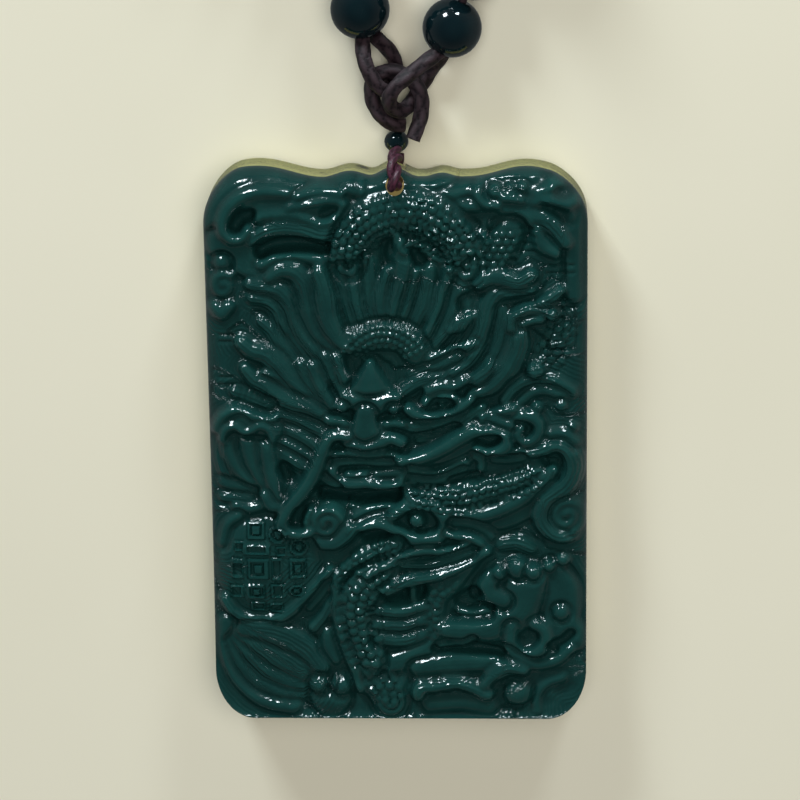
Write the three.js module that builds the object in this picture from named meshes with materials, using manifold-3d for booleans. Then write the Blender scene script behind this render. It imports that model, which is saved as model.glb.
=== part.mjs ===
// A carved two-colour stone pendant on a bead necklace, lying on its back with the dragon's face up.
// Millimetres. The origin is on the surface it lies on, under the middle of the plaque:
// +X is the viewer's right, +Y the plaque's top edge with the cord, +Z the carved face.
import * as THREE from "three";
import { mergeVertices } from "three/addons/utils/BufferGeometryUtils.js";
import Module from "manifold-3d";

// Driving dimensions of the plaque
const PLAQUE_WIDTH = 38;
const PLAQUE_HEIGHT = 57.6;
const CORNER_WIDTH = 4;
const CORNER_HEIGHT = 5.2;
const PLAQUE_THICKNESS = 8.1;
const WALL_TOP = 4.6;
const RIM_ROUNDING = 2.1;
const BACK_EDGE_ROUNDING = 0.7;
const GROUND = 6.1;

// The hole, and the groove that lets the plaque lie flat on its own cord
const HOLE_X = 0.1;
const HOLE_BELOW_TOP = 1.7;
const HOLE_DIAMETER = 1.9;
const DRILL_LENGTH = 3 * PLAQUE_THICKNESS;
const DRILL_SIDES = 16;
const LOOP_CORD = 0.9;
const CORD_CLEARANCE = 0.3;
const GROOVE_WIDTH = LOOP_CORD + 2 * CORD_CLEARANCE;
const GROOVE_DEPTH = 1.4;
const GROOVE_OVERRUN = 2;

// The cords and the beads
const CORD = 1.4;
const BEAD = 5.8;
const BEAD_STEP = BEAD + CORD_CLEARANCE;
const SPACER_BEAD = 2.4;
const COIL_OUTER_RADIUS = 33;
const COIL_INNER_RADIUS = 13;
const COIL_EDGE_ROUNDING = 1.6;

// How finely the carving and the round pieces are faceted
const COLUMNS = 42;
const ROWS_ALONG_SIDE = 50;
const ROWS_IN_CORNER = 5;
const BLUR = 0.28;
const TUBE_SIDES = 8;
const BEAD_SIDES = 14;
const COIL_SIDES = 28;

const halfWidth = PLAQUE_WIDTH / 2;
const halfHeight = PLAQUE_HEIGHT / 2;
const holeY = halfHeight - HOLE_BELOW_TOP;

// The scallops and the carving are drawn on a plaque of this size and stretch with the real one
const DRAWN_WIDTH = 38;
const DRAWN_HEIGHT = 57.6;
const DRAWN_THICKNESS = 8.1;
const stretchX = PLAQUE_WIDTH / DRAWN_WIDTH;
const stretchY = PLAQUE_HEIGHT / DRAWN_HEIGHT;
const stretchZ = PLAQUE_THICKNESS / DRAWN_THICKNESS;

const group = new THREE.Group();

const darkStone = new THREE.MeshStandardMaterial({ color: 0x123a34, roughness: 0.12, metalness: 0 });
const beadStone = new THREE.MeshStandardMaterial({ color: 0x0b1f20, roughness: 0.08, metalness: 0 });
const brownCord = new THREE.MeshStandardMaterial({ color: 0x2a2024, roughness: 0.85, metalness: 0 });

function place(name, geometry, material) {
  const mesh = new THREE.Mesh(geometry, material);
  mesh.name = name;
  group.add(mesh);
  return mesh;
}

// The scalloped top edge: humps of [middle, half width, rise] over a line a little below the box
const TOP_DIP = 1.15;
const TOP_HUMPS = [
  [-13.6, 6.6, 1.15],
  [-4.4, 2.8, 0.6],
  [-0.2, 2.6, 0.95],
  [4.7, 1.9, 0.35],
  [12.9, 5.6, 0.98],
];
const CORNER_START = halfWidth - CORNER_WIDTH;

function topDip(x) {
  let dip = TOP_DIP;
  for (const [middle, reach, rise] of TOP_HUMPS) {
    const t = Math.min(1, Math.abs(x / stretchX - middle) / reach);
    dip -= rise * Math.cos((t * Math.PI) / 2) ** 2;
  }
  return Math.max(0, dip) * stretchY;
}

function cornerDrop(distance, start, size, drop) {
  const t = Math.min(1, Math.max(0, (Math.abs(distance) - start) / size));
  return drop * (1 - Math.sqrt(1 - t * t));
}

// How far a point is inside the outline
function insideBy(x, y) {
  const across = halfWidth - cornerDrop(y, halfHeight - CORNER_HEIGHT, CORNER_HEIGHT, CORNER_WIDTH);
  const up = halfHeight - cornerDrop(x, CORNER_START, CORNER_WIDTH, CORNER_HEIGHT);
  const dx = Math.max(0, across - Math.abs(x));
  const dy = Math.max(0, y > 0 ? up - topDip(x) - y : up + y);
  return (dx * dy) / Math.max(1e-6, Math.hypot(dx, dy));
}

// The carving is a list of forms. Each takes the height so far at a point and gives it back changed.
const forms = [];

function mix(list, t) {
  if (!Array.isArray(list)) return list;
  const at = t * (list.length - 1);
  const i = Math.min(list.length - 2, Math.floor(at));
  return list[i] + (list[i + 1] - list[i]) * (at - i);
}

// The nearest place on a smooth curve through a few guide points
function follow(points, reach) {
  const curve = new THREE.SplineCurve(points.map(([x, y]) => new THREE.Vector2(x, y)));
  const line = curve.getPoints(points.length * 6);
  const box = new THREE.Box2().setFromPoints(line).expandByScalar(reach);
  const at = new THREE.Vector2();
  return (x, y) => {
    at.set(x, y);
    if (!box.containsPoint(at)) return null;
    let best = { distance: Infinity, t: 0 };
    for (let i = 0; i + 1 < line.length; i++) {
      const run = line[i + 1].clone().sub(line[i]);
      const from = at.clone().sub(line[i]);
      const part = Math.min(1, Math.max(0, from.dot(run) / run.lengthSq()));
      const distance = from.sub(run.multiplyScalar(part)).length();
      if (distance < best.distance) best = { distance, t: (i + part) / (line.length - 1) };
    }
    return best;
  };
}

// A raised rounded strand along a curve: a ribbon of cloud, a lock of hair, a whisker, a claw.
// Its band is a little wider than drawn, and its crown rises with its width.
const FULLNESS = 1.22;

function strand(points, width, top, flat = 0) {
  const reach = FULLNESS * Math.max(...[width].flat());
  const nearest = follow(points, reach);
  forms.push((x, y, z) => {
    const near = nearest(x, y);
    if (!near) return z;
    const half = FULLNESS * mix(width, near.t);
    const across = Math.max(0, near.distance / half - flat) / (1 - flat);
    if (across >= 1) return z;
    const crown = Math.min(1.1, 0.2 + 0.7 * half);
    return Math.max(z, mix(top, near.t) - crown * (1 - Math.sqrt(1 - across * across)));
  });
}

// A sunken rounded hollow along a curve
function hollow(points, width, floor) {
  const nearest = follow(points, Math.max(...[width].flat()));
  forms.push((x, y, z) => {
    const near = nearest(x, y);
    if (!near) return z;
    const across = near.distance / mix(width, near.t);
    if (across >= 1) return z;
    return Math.min(z, floor + (z - floor) * across ** 4);
  });
}

// A raised dome
function knob(x0, y0, radius, top) {
  forms.push((x, y, z) => {
    const across = Math.hypot(x - x0, y - y0) / radius;
    if (across >= 1) return z;
    return Math.max(z, top - Math.min(1.2, radius) * (1 - Math.sqrt(1 - across * across)));
  });
}

// A curl of cloud: a spiral strand that winds in to its middle
function curl(x0, y0, radius, turns, start, width, top) {
  const points = [];
  const count = Math.ceil(turns * 10);
  for (let i = 0; i <= count; i++) {
    const angle = start + (i / count) * turns * 2 * Math.PI;
    const r = radius * (1 - (0.85 * i) / count);
    points.push([x0 + r * Math.cos(angle), y0 + r * Math.sin(angle)]);
  }
  strand(points, width, top);
}

function cloudsAtTopLeft() {
  strand([[-3, 27.9], [-1.6, 27.6], [-1.8, 25.8]], [1.2, 1.4, 1], 6.8, 0.4);
  strand([
    [-18, 20.4], [-18, 23.6], [-16.9, 26.2], [-14.6, 27.6], [-11.6, 27.7], [-8.8, 27],
  ], [0.9, 1.2, 1.1, 0.8], 7.2);
  strand([[-7.4, 27.3], [-5.2, 27.5], [-3.8, 27]], [0.7, 0.9, 0.6], 7);
  strand([
    [-17.4, 24.8], [-16.6, 26], [-15.2, 26.6], [-13.6, 26.8], [-12, 26.7], [-10.2, 26.1], [-8.6, 26.3],
    [-7, 26.8], [-5.2, 26.2], [-4.4, 25.4],
  ], 0.5, 7.6);
  strand([
    [-12.6, 25], [-14, 25.4], [-15.6, 25.2], [-16.7, 24.2], [-16.8, 22.9], [-16, 22], [-15, 22.2],
  ], [0.4, 0.7, 0.7, 0.5], 7.5);
  hollow([[-15.6, 23], [-14.6, 23.9], [-13.7, 24.5]], 0.8, 5.2);
  strand([
    [-12.6, 24.9], [-10.6, 25.3], [-8.6, 25.5], [-7.2, 25.8], [-5.8, 25.6], [-4.8, 25.2],
  ], 0.5, 7.6);
  strand([
    [-15.4, 21.7], [-14, 22.3], [-12.2, 23.2], [-10, 23.3], [-8.2, 22.9], [-6.4, 22.8], [-5, 23.3],
    [-3.8, 24.4],
  ], [0.6, 0.8, 0.8, 0.5], 7.5);
  strand([
    [-13.4, 23.9], [-11.8, 24.3], [-10, 24.3], [-8.4, 24.5], [-7.4, 24.1], [-6.4, 23.6], [-5.2, 23.8],
    [-4.3, 24.6], [-3.9, 25.6],
  ], 0.45, 7.7);
  hollow([[-6.9, 24.7], [-5.6, 24.8]], 0.55, 5.8);
  strand([[-3.5, 27.6], [-3.5, 26.3], [-3.8, 24.6]], 0.4, 7.2);
  strand([[-17.2, 21.4], [-15.6, 20.4], [-14.4, 19.4], [-13, 18.9]], [1.4, 1.5, 1], 6.8, 0.6);
  strand([[-13.2, 19.3], [-11.8, 20.1], [-10.4, 20.5], [-8.9, 20.3], [-7.4, 19.7]], [0.5, 0.8, 0.6], 7);
  hollow([
    [-13.2, 20.7], [-11.9, 21.3], [-10, 21.5], [-8.2, 21.5], [-6.8, 21.3],
  ], [0.7, 0.95, 0.9, 0.7], 4.3);
  knob(-17.1, 19.5, 1.1, 6.9);
  curl(-17, 17.2, 1.3, 1.2, 1, 0.4, 6.9);
  strand([[-18, 15], [-17.3, 14.4], [-16.6, 15.1]], 0.6, 7.3);
}

function maneAtLeft() {
  strand([[-12.2, 5], [-10.6, 4.6], [-9, 4], [-7.4, 3.2], [-6.4, 2.6]], 0.6, 6.9);
  strand([[-12.1, 3.7], [-10.4, 3.3], [-8.8, 2.6], [-7.6, 2]], 0.65, 7);
  strand([[-12.1, 2.4], [-10.4, 1.9], [-9.2, 1.2], [-8.2, 0.4]], 0.65, 7);
  strand([[-12.1, 1.1], [-11, 0.5], [-9.8, -0.2], [-8.9, -0.9]], 0.65, 7);
  strand([[-12, -0.1], [-10.8, -0.8], [-9.6, -1.5]], 0.55, 6.9);
  strand([
    [-14.2, 16], [-12.7, 15.8], [-11.5, 14.8], [-10.9, 13], [-10.2, 11.4], [-9.2, 10], [-8.2, 8.8],
    [-7.4, 7],
  ], [0.5, 0.9, 0.9, 0.6], 7.1);
  strand([
    [-13.4, 13.6], [-12.4, 12.6], [-11.6, 11.2], [-10.6, 9.6], [-9.6, 8], [-8.4, 6.4],
  ], [0.4, 0.8, 0.8, 0.5], 7);
  strand([
    [-15.4, 11.4], [-14.4, 10.6], [-13, 10.2], [-11.9, 9.2], [-10.9, 7.9], [-9.8, 6.6], [-8.6, 5.5],
    [-7.2, 4.6],
  ], [0.6, 1, 0.9, 0.5], 7.4);
  strand([[-13.4, 8.2], [-12.4, 7.8], [-11.8, 6.8], [-10.6, 6], [-9.2, 5.2]], [0.4, 0.6, 0.4], 7.6);
  strand([
    [-15.1, 8.8], [-14.2, 7.6], [-13, 6.9], [-11.8, 5.9], [-10.4, 5.2], [-8.8, 4.7], [-7.2, 3.9],
  ], [0.5, 0.8, 0.8, 0.4], 7.4);
  strand([
    [-14.4, 17.4], [-13.2, 17.2], [-11.8, 17], [-10.6, 16], [-10, 14.4], [-9.2, 12.6], [-8.2, 11],
    [-7.2, 9.4], [-6.6, 7.8],
  ], [0.5, 0.9, 0.9, 0.8, 0.4], 7.3);
  strand([
    [-12.4, 18.1], [-11.2, 18.8], [-9.8, 18.6], [-9, 17.4], [-8.6, 15.6], [-8.3, 14.2], [-7.5, 12.6],
    [-6.4, 11.2], [-5.6, 9.8],
  ], [0.5, 0.9, 1, 0.9, 0.5], 7.4);
  strand([
    [-7.5, 18.7], [-7.2, 17.4], [-6.9, 15.6], [-6.6, 13.8], [-5.9, 12.2], [-4.9, 11],
  ], [0.6, 1, 1, 0.5], 7.7);
  strand([[-9.4, 9.2], [-8.9, 8], [-8, 6.6], [-7, 5.2]], 0.5, 7.4);
  strand([[-8.3, 9], [-7.9, 7.6], [-7.2, 6.2], [-6.4, 5]], 0.5, 7.5);
  strand([[-7, 10], [-6.2, 8.6], [-5.6, 7.2], [-5.2, 6]], [0.5, 0.7, 0.5], 7.5);
  strand([[-5.8, 10], [-5.5, 8.6], [-5.2, 7.8]], 0.5, 7.7);
}

function crown() {
  strand([[1.6, 20.6], [3.4, 21.4], [4.4, 20.2]], [2.2, 2.4, 2], 6.7, 0.5);
  strand([
    [-4.6, 19.4], [-4.2, 21.8], [-2.4, 23.8], [0.4, 24.7], [3.2, 24.4], [5.4, 22.8], [6.7, 20.8],
    [7.1, 19],
  ], [1.5, 1.9, 1.9, 1.5], 7.5, 0.1);
  hollow([[1.9, 20.2], [2.7, 19.3]], 1, 4.9);
  strand([[-5.2, 18.8], [-4.8, 16.6], [-4.5, 14.8], [-4, 13]], [0.7, 0.7, 0.5], 6.9);
  strand([[-3.9, 18.9], [-3.9, 17], [-3.6, 15], [-3, 13]], [0.7, 0.7, 0.5], 7.2);
  strand([[-2.6, 19.8], [-2.5, 18], [-2.3, 15.6], [-2, 13.2]], [0.7, 0.7, 0.5], 7);
  strand([[-0.6, 18.8], [-1.1, 17.4], [-1.4, 15.6], [-1.2, 13.4]], [0.4, 0.7, 0.5], 7.3);
  strand([[0.2, 22.4], [0.8, 20], [0.7, 17.6], [0.1, 15.4], [-0.3, 13.4]], [0.4, 0.8, 0.8, 0.4], 7.5);
  strand([[2.3, 18.6], [2, 17], [1.5, 15.2], [0.7, 13.4]], [0.4, 0.7, 0.5], 7.2);
  strand([[3.5, 18.8], [3.2, 17], [2.7, 15], [1.7, 13]], [0.6, 0.8, 0.5], 7);
  strand([[5.5, 18.7], [5.2, 17], [4.8, 15.2], [4, 13.2], [2.8, 11.4]], [0.6, 0.9, 0.9, 0.5], 7.6);
  strand([
    [7.7, 19.6], [7, 18.2], [6.3, 16.4], [5.8, 14.6], [4.8, 12.4], [3.4, 10.6],
  ], [0.5, 0.8, 0.8, 0.4], 7.3);
  strand([[-4.9, 11.4], [-3.2, 11.9], [-1, 12.2], [0.9, 11.8], [2, 10.4]], [1, 1.4, 1.2], 7.4, 0.2);
}

function maneAtRight() {
  strand([[7.2, 15.4], [7.4, 13.6], [6.8, 12], [5.4, 10.4]], 0.7, 6.9);
  strand([
    [13.5, 16.9], [11.8, 16.8], [10.2, 16.6], [9.4, 15.4], [9, 13.6], [8.4, 11.9], [7.2, 10.1],
    [5.6, 8.6], [4, 7.6],
  ], [0.4, 0.8, 1.1, 1.2, 0.9, 0.5], 7.4);
  strand([[10.6, 14.8], [10.6, 12.8], [10.2, 10.8], [9.2, 9], [7.6, 7.6]], [0.5, 0.9, 0.8, 0.5], 7.1);
  strand([
    [12, 13.4], [12.2, 11.8], [11.7, 9.8], [10.6, 8.1], [9.2, 6.8], [7.4, 6.1],
  ], [0.6, 1, 1.1, 0.8, 0.4], 7.6);
  strand([[11.5, 13], [11.7, 14], [12.6, 14.5], [13.6, 14.8], [15.4, 14.3]], [0.5, 0.7, 0.6], 7.6);
  strand([[12.6, 13.4], [13.4, 13.7], [14.4, 13.8]], 0.4, 7.4);
  strand([[14.3, 15.5], [15.3, 15.9], [16.3, 16.7]], [0.4, 0.6, 0.4], 7.4);
  strand([[8.3, 17.5], [9.4, 18.1], [10.8, 18], [12.1, 17.6], [13.4, 18.3]], [0.6, 0.8, 0.6], 7.6);
  strand([[5.4, 12.8], [6.3, 13.3], [7.4, 14.2]], [0.4, 0.7, 0.4], 7.7);
  strand([[6.8, 7.7], [8, 7.7], [8.9, 8.4], [9.3, 9.2]], [0.4, 0.6, 0.4], 7.7);
  strand([[3.6, 9.6], [4.9, 10.1], [6.4, 10.8], [7.8, 11.4]], [0.6, 0.5, 0.4], 7.5);
  strand([[1.6, 8], [3.2, 8.6], [4.8, 9.3], [6.2, 10]], 0.5, 7.1);
  strand([[0.8, 6.4], [2.2, 7.4], [3.8, 7.7], [4.6, 7.9]], [0.5, 0.7, 0.4], 7.3);
  strand([[10.8, 5.4], [12, 6.9], [13.8, 7.5], [15.6, 7.3], [17.4, 6.2]], [0.5, 0.7, 0.6], 7.1);
  strand([[12.4, 5.2], [13.6, 6.2], [15.2, 6.3], [16.6, 5.6]], 0.5, 6.8);
  knob(13.8, 8.5, 1, 7.5);
  knob(14, 4.6, 0.7, 7.2);
  knob(16.4, 4.8, 0.7, 6.9);
  knob(17.6, 2.5, 0.7, 7.1);
}

function cloudsAtTopRight() {
  strand([[1.4, 26.6], [3.2, 27.2], [5.2, 27.8]], 0.6, 6.9);
  strand([[4.4, 26], [6, 26.5], [7.8, 27.2]], 0.6, 6.9);
  strand([[5.6, 25.1], [7.2, 25.2], [8.6, 24.9]], [0.4, 0.6, 0.5], 7.1);
  strand([[17.6, 24], [17.6, 20], [17.7, 16]], 0.8, 6.4, 0.4);
  strand([[8.8, 27.8], [10.2, 28.2], [12, 28.3], [13.8, 27.9]], 0.6, 6.9);
  strand([[14, 24.8], [15.6, 24.9], [17.2, 24.2]], 0.6, 6.6);
  strand([[8.5, 27.9], [8.3, 26.7], [9.2, 25.7], [10.8, 25.3], [12.2, 24.4]], [0.4, 0.7, 0.9, 0.9], 7.3);
  strand([[12.2, 24.4], [13.4, 25.9], [14.8, 27], [16.2, 27.5]], [0.9, 0.7, 0.5], 7.5);
  strand([[12.8, 24.3], [14.2, 25.5], [15.4, 25.8], [16.8, 25.4], [18, 25.9]], [0.8, 0.6, 0.5], 7.4);
  knob(9.9, 26.8, 0.9, 7.5);
  knob(11.5, 26.9, 0.7, 7.4);
  knob(12.6, 27.2, 0.6, 7.3);
  strand([[10.8, 26.2], [12.4, 25.9]], 0.4, 7.5);
  hollow([[16.2, 26.7], [17.3, 26.5]], 0.6, 5.6);
  hollow([[7.8, 24.1], [9.8, 24.3]], 0.8, 5.5);
  strand([[11.4, 24.4], [13.2, 24.1], [14.7, 23.8], [15.8, 22.9], [16.8, 21.6]], [0.8, 0.9, 0.6], 7.3);
  strand([[14, 22.9], [14.5, 21.5], [15.8, 20.5]], [0.4, 0.8, 0.5], 7.3);
  strand([[9.4, 19.2], [10.4, 20.8], [11.4, 22.6]], 1.3, 6.7, 0.4);
  curl(8.2, 21.9, 1.2, 1, 2.4, 0.4, 7.3);
}

function face() {
  strand([[-2.6, 9.4], [-2.6, 7.8], [-2.6, 6.2]], [0.4, 1.2, 2], [7.5, 7.9, 8.1]);
  strand([[-5, 5.8], [-2.7, 5], [-0.2, 5.8]], [0.6, 0.9, 0.6], 8);
  knob(-5.4, 4.9, 0.7, 7.8);
  knob(-0.3, 4.7, 0.7, 7.8);
  strand([[2.8, 5.2], [3.4, 6], [4.6, 6.2], [5.8, 5.8], [6.2, 5]], 0.35, 7.7);
  strand([
    [1.2, 4.6], [2.4, 3.8], [4.2, 3.5], [5.8, 4], [6.9, 5.2], [7.4, 5.6],
  ], [0.5, 0.6, 0.7, 0.4], 7.8);
  hollow([[3.8, 4.9], [5.2, 5.1]], 0.75, 5.9);
  knob(4.5, 5, 0.5, 6.9);
  strand([[3.2, 6.5], [4.4, 7], [5.8, 7], [6.8, 7.6]], 0.45, 7.6);
  strand([[0.6, 2.8], [2.6, 2.6], [4.8, 2.7], [6.8, 3.5], [8.6, 4.8]], [0.5, 0.7, 0.4], 7.3);
  strand([[2.2, 1.2], [4, 1.6], [5.8, 2.3]], 0.5, 6.6);
  strand([[-6.8, 3.4], [-5.4, 3.2], [-4.4, 2.4], [-4.3, 1.4]], 0.45, 7.4);
  strand([[-2, 1.3], [-1.7, 2.4], [-0.8, 3.1], [0.6, 3]], 0.45, 7.4);
  strand([[-3.1, 3.5], [-3.1, 1.6]], 0.85, 7.9, 0.4);
  strand([
    [-6.8, 1.7], [-5.6, 1.9], [-4.6, 1], [-3.2, 0.5], [-1.8, 1], [-0.7, 1.6], [0.4, 1.2],
  ], 0.55, 7.9);
  strand([[-6.2, -0.2], [-4.8, -0.2], [-3.2, -0.5], [-1.2, -0.2], [0, -0.4]], 0.5, 7.5);
  strand([[-7.2, -1.8], [-6, -1.2], [-4.4, -1.2], [-2.8, -1.3], [-1, -1.2], [0.6, -1.4]], 0.4, 7);
  hollow([[-5.4, -1.9], [-3.4, -1.8], [-1.6, -2]], 0.45, 5.4);
  strand([[-4.9, -2.5], [-3.9, -2.5], [-2.8, -2.4]], 0.45, 7.3);
  strand([[-2.2, -2.4], [-0.8, -2.3], [0.6, -2.2]], 0.4, 6.9);
  strand([
    [-6.6, -1.9], [-6.2, -3], [-4.8, -3.4], [-3.2, -3.3], [-1.6, -3.5], [0, -3.4], [1.2, -2.4],
  ], 0.45, 7.4);
  strand([[-7.8, -2.6], [-7, -3.2], [-6.2, -3.9]], 0.4, 6.8);
  hollow([[-7.4, -4.5], [-5, -4.8], [-2.2, -4.8], [0.4, -4.5]], 0.8, 4);
}

function rightScroll() {
  strand([[9.4, -2.2], [11.4, -1.6], [13.6, -1.4]], 1, 6.5, 0.3);
  strand([[8.6, -7.6], [10.6, -7.4], [12.4, -6.6], [13.4, -5.8]], 0.9, 6.7, 0.3);
  strand([
    [1.2, -4.6], [3.8, -5], [6.4, -4.8], [9.2, -4], [11.8, -3.2], [14.2, -2.1],
  ], [0.8, 1.3, 1.3, 1.1, 0.7], 7.2, 0.1);
  strand([
    [4.6, -6.2], [7, -6.7], [9, -6.5], [11, -5.7], [13, -4.5], [14.6, -3.1], [15.6, -1.9],
  ], [0.5, 0.7, 0.7, 0.5], 7.5);
  strand([
    [11.2, 0], [13.2, 0.1], [14.6, 0.5], [15.6, 1], [16.8, 0.7], [17.6, -0.4], [17.8, -1.8],
    [17.2, -3.2], [16, -4.3], [14.9, -5.3], [14.4, -6.7], [15, -8.1], [16.4, -8.9], [17.8, -8.7],
  ], [0.4, 0.8, 0.9, 0.9, 0.8, 0.5], 7.6);
  curl(17, -6.7, 1.9, 1.6, -1.2, 0.42, 7.2);
  strand([[15.3, 1.9], [16.8, 1.9], [18, 0.9]], 0.45, 7);
}

function cloudsInTheMiddle() {
  curl(-7.2, -7.5, 2.3, 2.2, 2.4, 0.42, 7.5);
  strand([
    [-9.4, -8.9], [-8.2, -9.6], [-6.6, -9.7], [-5.4, -8.9], [-4.4, -7.7], [-2.8, -6.8], [-1.2, -6.3],
    [0, -6.2],
  ], [0.5, 0.7, 0.6], 7.6);
  strand([[-4.4, -6.9], [-2.6, -6], [-0.8, -5.7]], 0.4, 6.9);
  strand([
    [-0.6, -6.7], [0.7, -5.7], [2.4, -5.3], [4.1, -6.1], [4.8, -7.5], [4.2, -8.8], [2.4, -9.2],
    [0.8, -8.9], [-0.6, -8], [-2.2, -7.5], [-3.8, -7.9],
  ], [0.5, 0.6, 0.6, 0.4], 7.8);
  knob(1.9, -7.1, 0.9, 7.8);
  hollow([[2.9, -6.7], [3.5, -7.5]], 0.45, 6);
  hollow([[-3.4, -9], [-2, -8.7], [-0.8, -9.3]], 0.6, 4.8);
  strand([[5, -8.6], [6.6, -8.9], [8, -9.3], [9.2, -10.3]], [0.4, 0.6, 0.4], 7.5);
  strand([[5.6, -7.6], [7.4, -7.8], [9, -8.6], [9.8, -9.8]], 0.45, 6.8);
}

function whiskers() {
  strand([
    [-4.9, 1.7], [-5.9, 1.9], [-6.8, 1.5], [-7.4, 0.4], [-7.9, -1], [-8.6, -2.6], [-9.6, -4.2],
    [-10.6, -5.4], [-11.3, -6.4], [-11.4, -7.4], [-10.7, -8.1], [-9.6, -8.2],
  ], [0.4, 0.6, 0.65, 0.65, 0.55, 0.4], 7.9);
  strand([[-10.6, -3.9], [-10, -5.4], [-10.4, -6.6]], 0.4, 6.9);
  strand([[2.2, -1.1], [4, -0.7], [5.8, -0.1], [7.2, 0.7]], 0.6, 7.3);
  strand([
    [0.4, -0.7], [1.6, -0.6], [3.2, -0.1], [4.8, 0.7], [6.4, 1.7], [8, 2.5], [9.6, 2.7], [10.8, 2.2],
    [11.1, 1.2], [10.3, 0.4], [9.1, 0.1], [8, 0.6],
  ], [0.5, 0.6, 0.65, 0.65, 0.6, 0.4], 8.1);
  hollow([[8.6, 1.3], [10, 1.6]], 0.5, 6.2);
  strand([
    [10.6, 3.6], [12, 3.9], [13.4, 3.7], [14.2, 2.8], [13.9, 1.6], [12.8, 1.1], [12.1, 1.8],
    [12.4, 2.6],
  ], [0.4, 0.6, 0.5, 0.4], 7.5);
  strand([[8.6, 3.6], [10, 4.1], [11.6, 4.6]], 0.45, 7.6);
  strand([[9.6, 3.6], [10.6, 3.2], [11.4, 2.9]], 0.4, 7.6);
  strand([[1.4, -1.8], [2.8, -2.3], [4.4, -2.1], [5.8, -1.5], [6.9, -1]], 0.45, 7.4);
  strand([[1.4, -2.9], [3.4, -3.1], [5.2, -2.7], [6.6, -2]], 0.4, 6.9);
  strand([[7.8, -0.4], [8.5, -0.9], [8.4, -1.7]], 0.4, 7.2);
  strand([[9.6, -0.8], [10.8, -0.9], [12.4, -0.7]], 0.4, 6.9);
  hollow([[5.4, -3], [6.8, -2.6], [8.2, -2.6]], 0.45, 5.2);
}

function pawAtLeft() {
  strand([[-17.8, 0.8], [-17.8, -1.2], [-17, -2.9], [-15.2, -4.2]], [0.6, 0.7, 0.4], 6.8);
  strand([[-17, 2.2], [-17.2, 0.4], [-16.5, -1.4], [-15, -3], [-13.7, -4]], [0.7, 0.8, 0.5], 7.1);
  strand([[-15.8, 2], [-15.4, 0], [-14.6, -2], [-13.4, -3.8]], [0.7, 0.8, 0.5], 7.3);
  strand([[-14.3, 1.8], [-13.9, 0], [-13.3, -2], [-12.8, -4]], [0.7, 0.7, 0.5], 7.3);
  strand([[-12.8, 1.4], [-12.8, -0.4], [-12.5, -2.4], [-12.2, -4.4], [-12, -5.2]], [0.6, 0.7, 0.5], 7.6);
  strand([[-17.8, -3.4], [-16.4, -3.9], [-14.8, -4.5]], 0.55, 6.5);
  strand([[-17.8, -5], [-16.4, -5.1], [-15, -5.3]], 0.5, 6.5);
  strand([
    [-17.8, 3.3], [-16.8, 3.7], [-15.6, 3.8], [-14.4, 3], [-12.9, 2.8],
  ], [0.7, 1.1, 1, 0.8], 7.8, 0.1);
  strand([[-13.6, -4.2], [-13.5, -5.2], [-12.6, -5.9], [-11.9, -5.5]], [0.4, 0.7, 0.5], 7.8);
  strand([[-10.9, -3.8], [-11.4, -4.8], [-12, -5.6]], 0.4, 7.6);
  hollow([[-11.4, -1.8], [-10.9, -2.8]], 0.75, 5);
  strand([[-16.2, 6.2], [-14.6, 5.6], [-12.8, 4.9]], 0.6, 6.7);
  strand([[-16.4, -6], [-15, -6.1], [-13.9, -5.8]], 0.45, 6.9);
}

function shieldAtLeft() {
  knob(-13.3, -12.4, 5.5, 7.4);
  strand([[-18, -9.8], [-17.4, -7.9], [-16.2, -6.9]], 0.5, 6.8);
  strand([
    [-7, -12.8], [-8.4, -14.4], [-9.9, -15.8], [-11.2, -17.1], [-12.9, -18], [-15, -18.1],
    [-16.8, -17.2], [-17.9, -15.7],
  ], 0.5, 7.6);
}

function waveAtBottomLeft() {
  strand([[-17.8, -18.6], [-17.6, -21.8], [-16.5, -24.6], [-14.2, -26.8], [-11.2, -27.5]], 0.9, 6.9, 0.3);
  const shape = [[0.4, 3.8], [-3, 4.1], [-5.8, 3.1], [-7.2, 0.8], [-6.4, -1.6], [-4.2, -3], [-1.2, -3.2]];
  for (const shrink of [1, 0.78, 0.56, 0.34]) {
    strand(shape.map(([x, y]) => [-9.6 + x * shrink, -22.6 + y * shrink]), 0.6, 7.1);
  }
  strand([[-11.2, -19.2], [-9.6, -20.6], [-8.5, -22.4], [-8.1, -24]], [0.5, 0.7, 0.4], 7.4);
  strand([[-8.8, -18.9], [-7.6, -17.4], [-6.9, -16]], 0.5, 7.1);
  strand([[-7.4, -19.4], [-7.3, -20.8], [-6.6, -22.4]], [0.5, 0.8, 0.5], 7);
  strand([[-9.2, -16.8], [-8, -15.4], [-7.2, -14.2]], 0.4, 6.8);
  knob(-7.2, -26.6, 2.3, 7);
  knob(-8.3, -25.1, 1.2, 7.3);
  knob(-6.1, -25.3, 1.2, 7.3);
}

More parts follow.
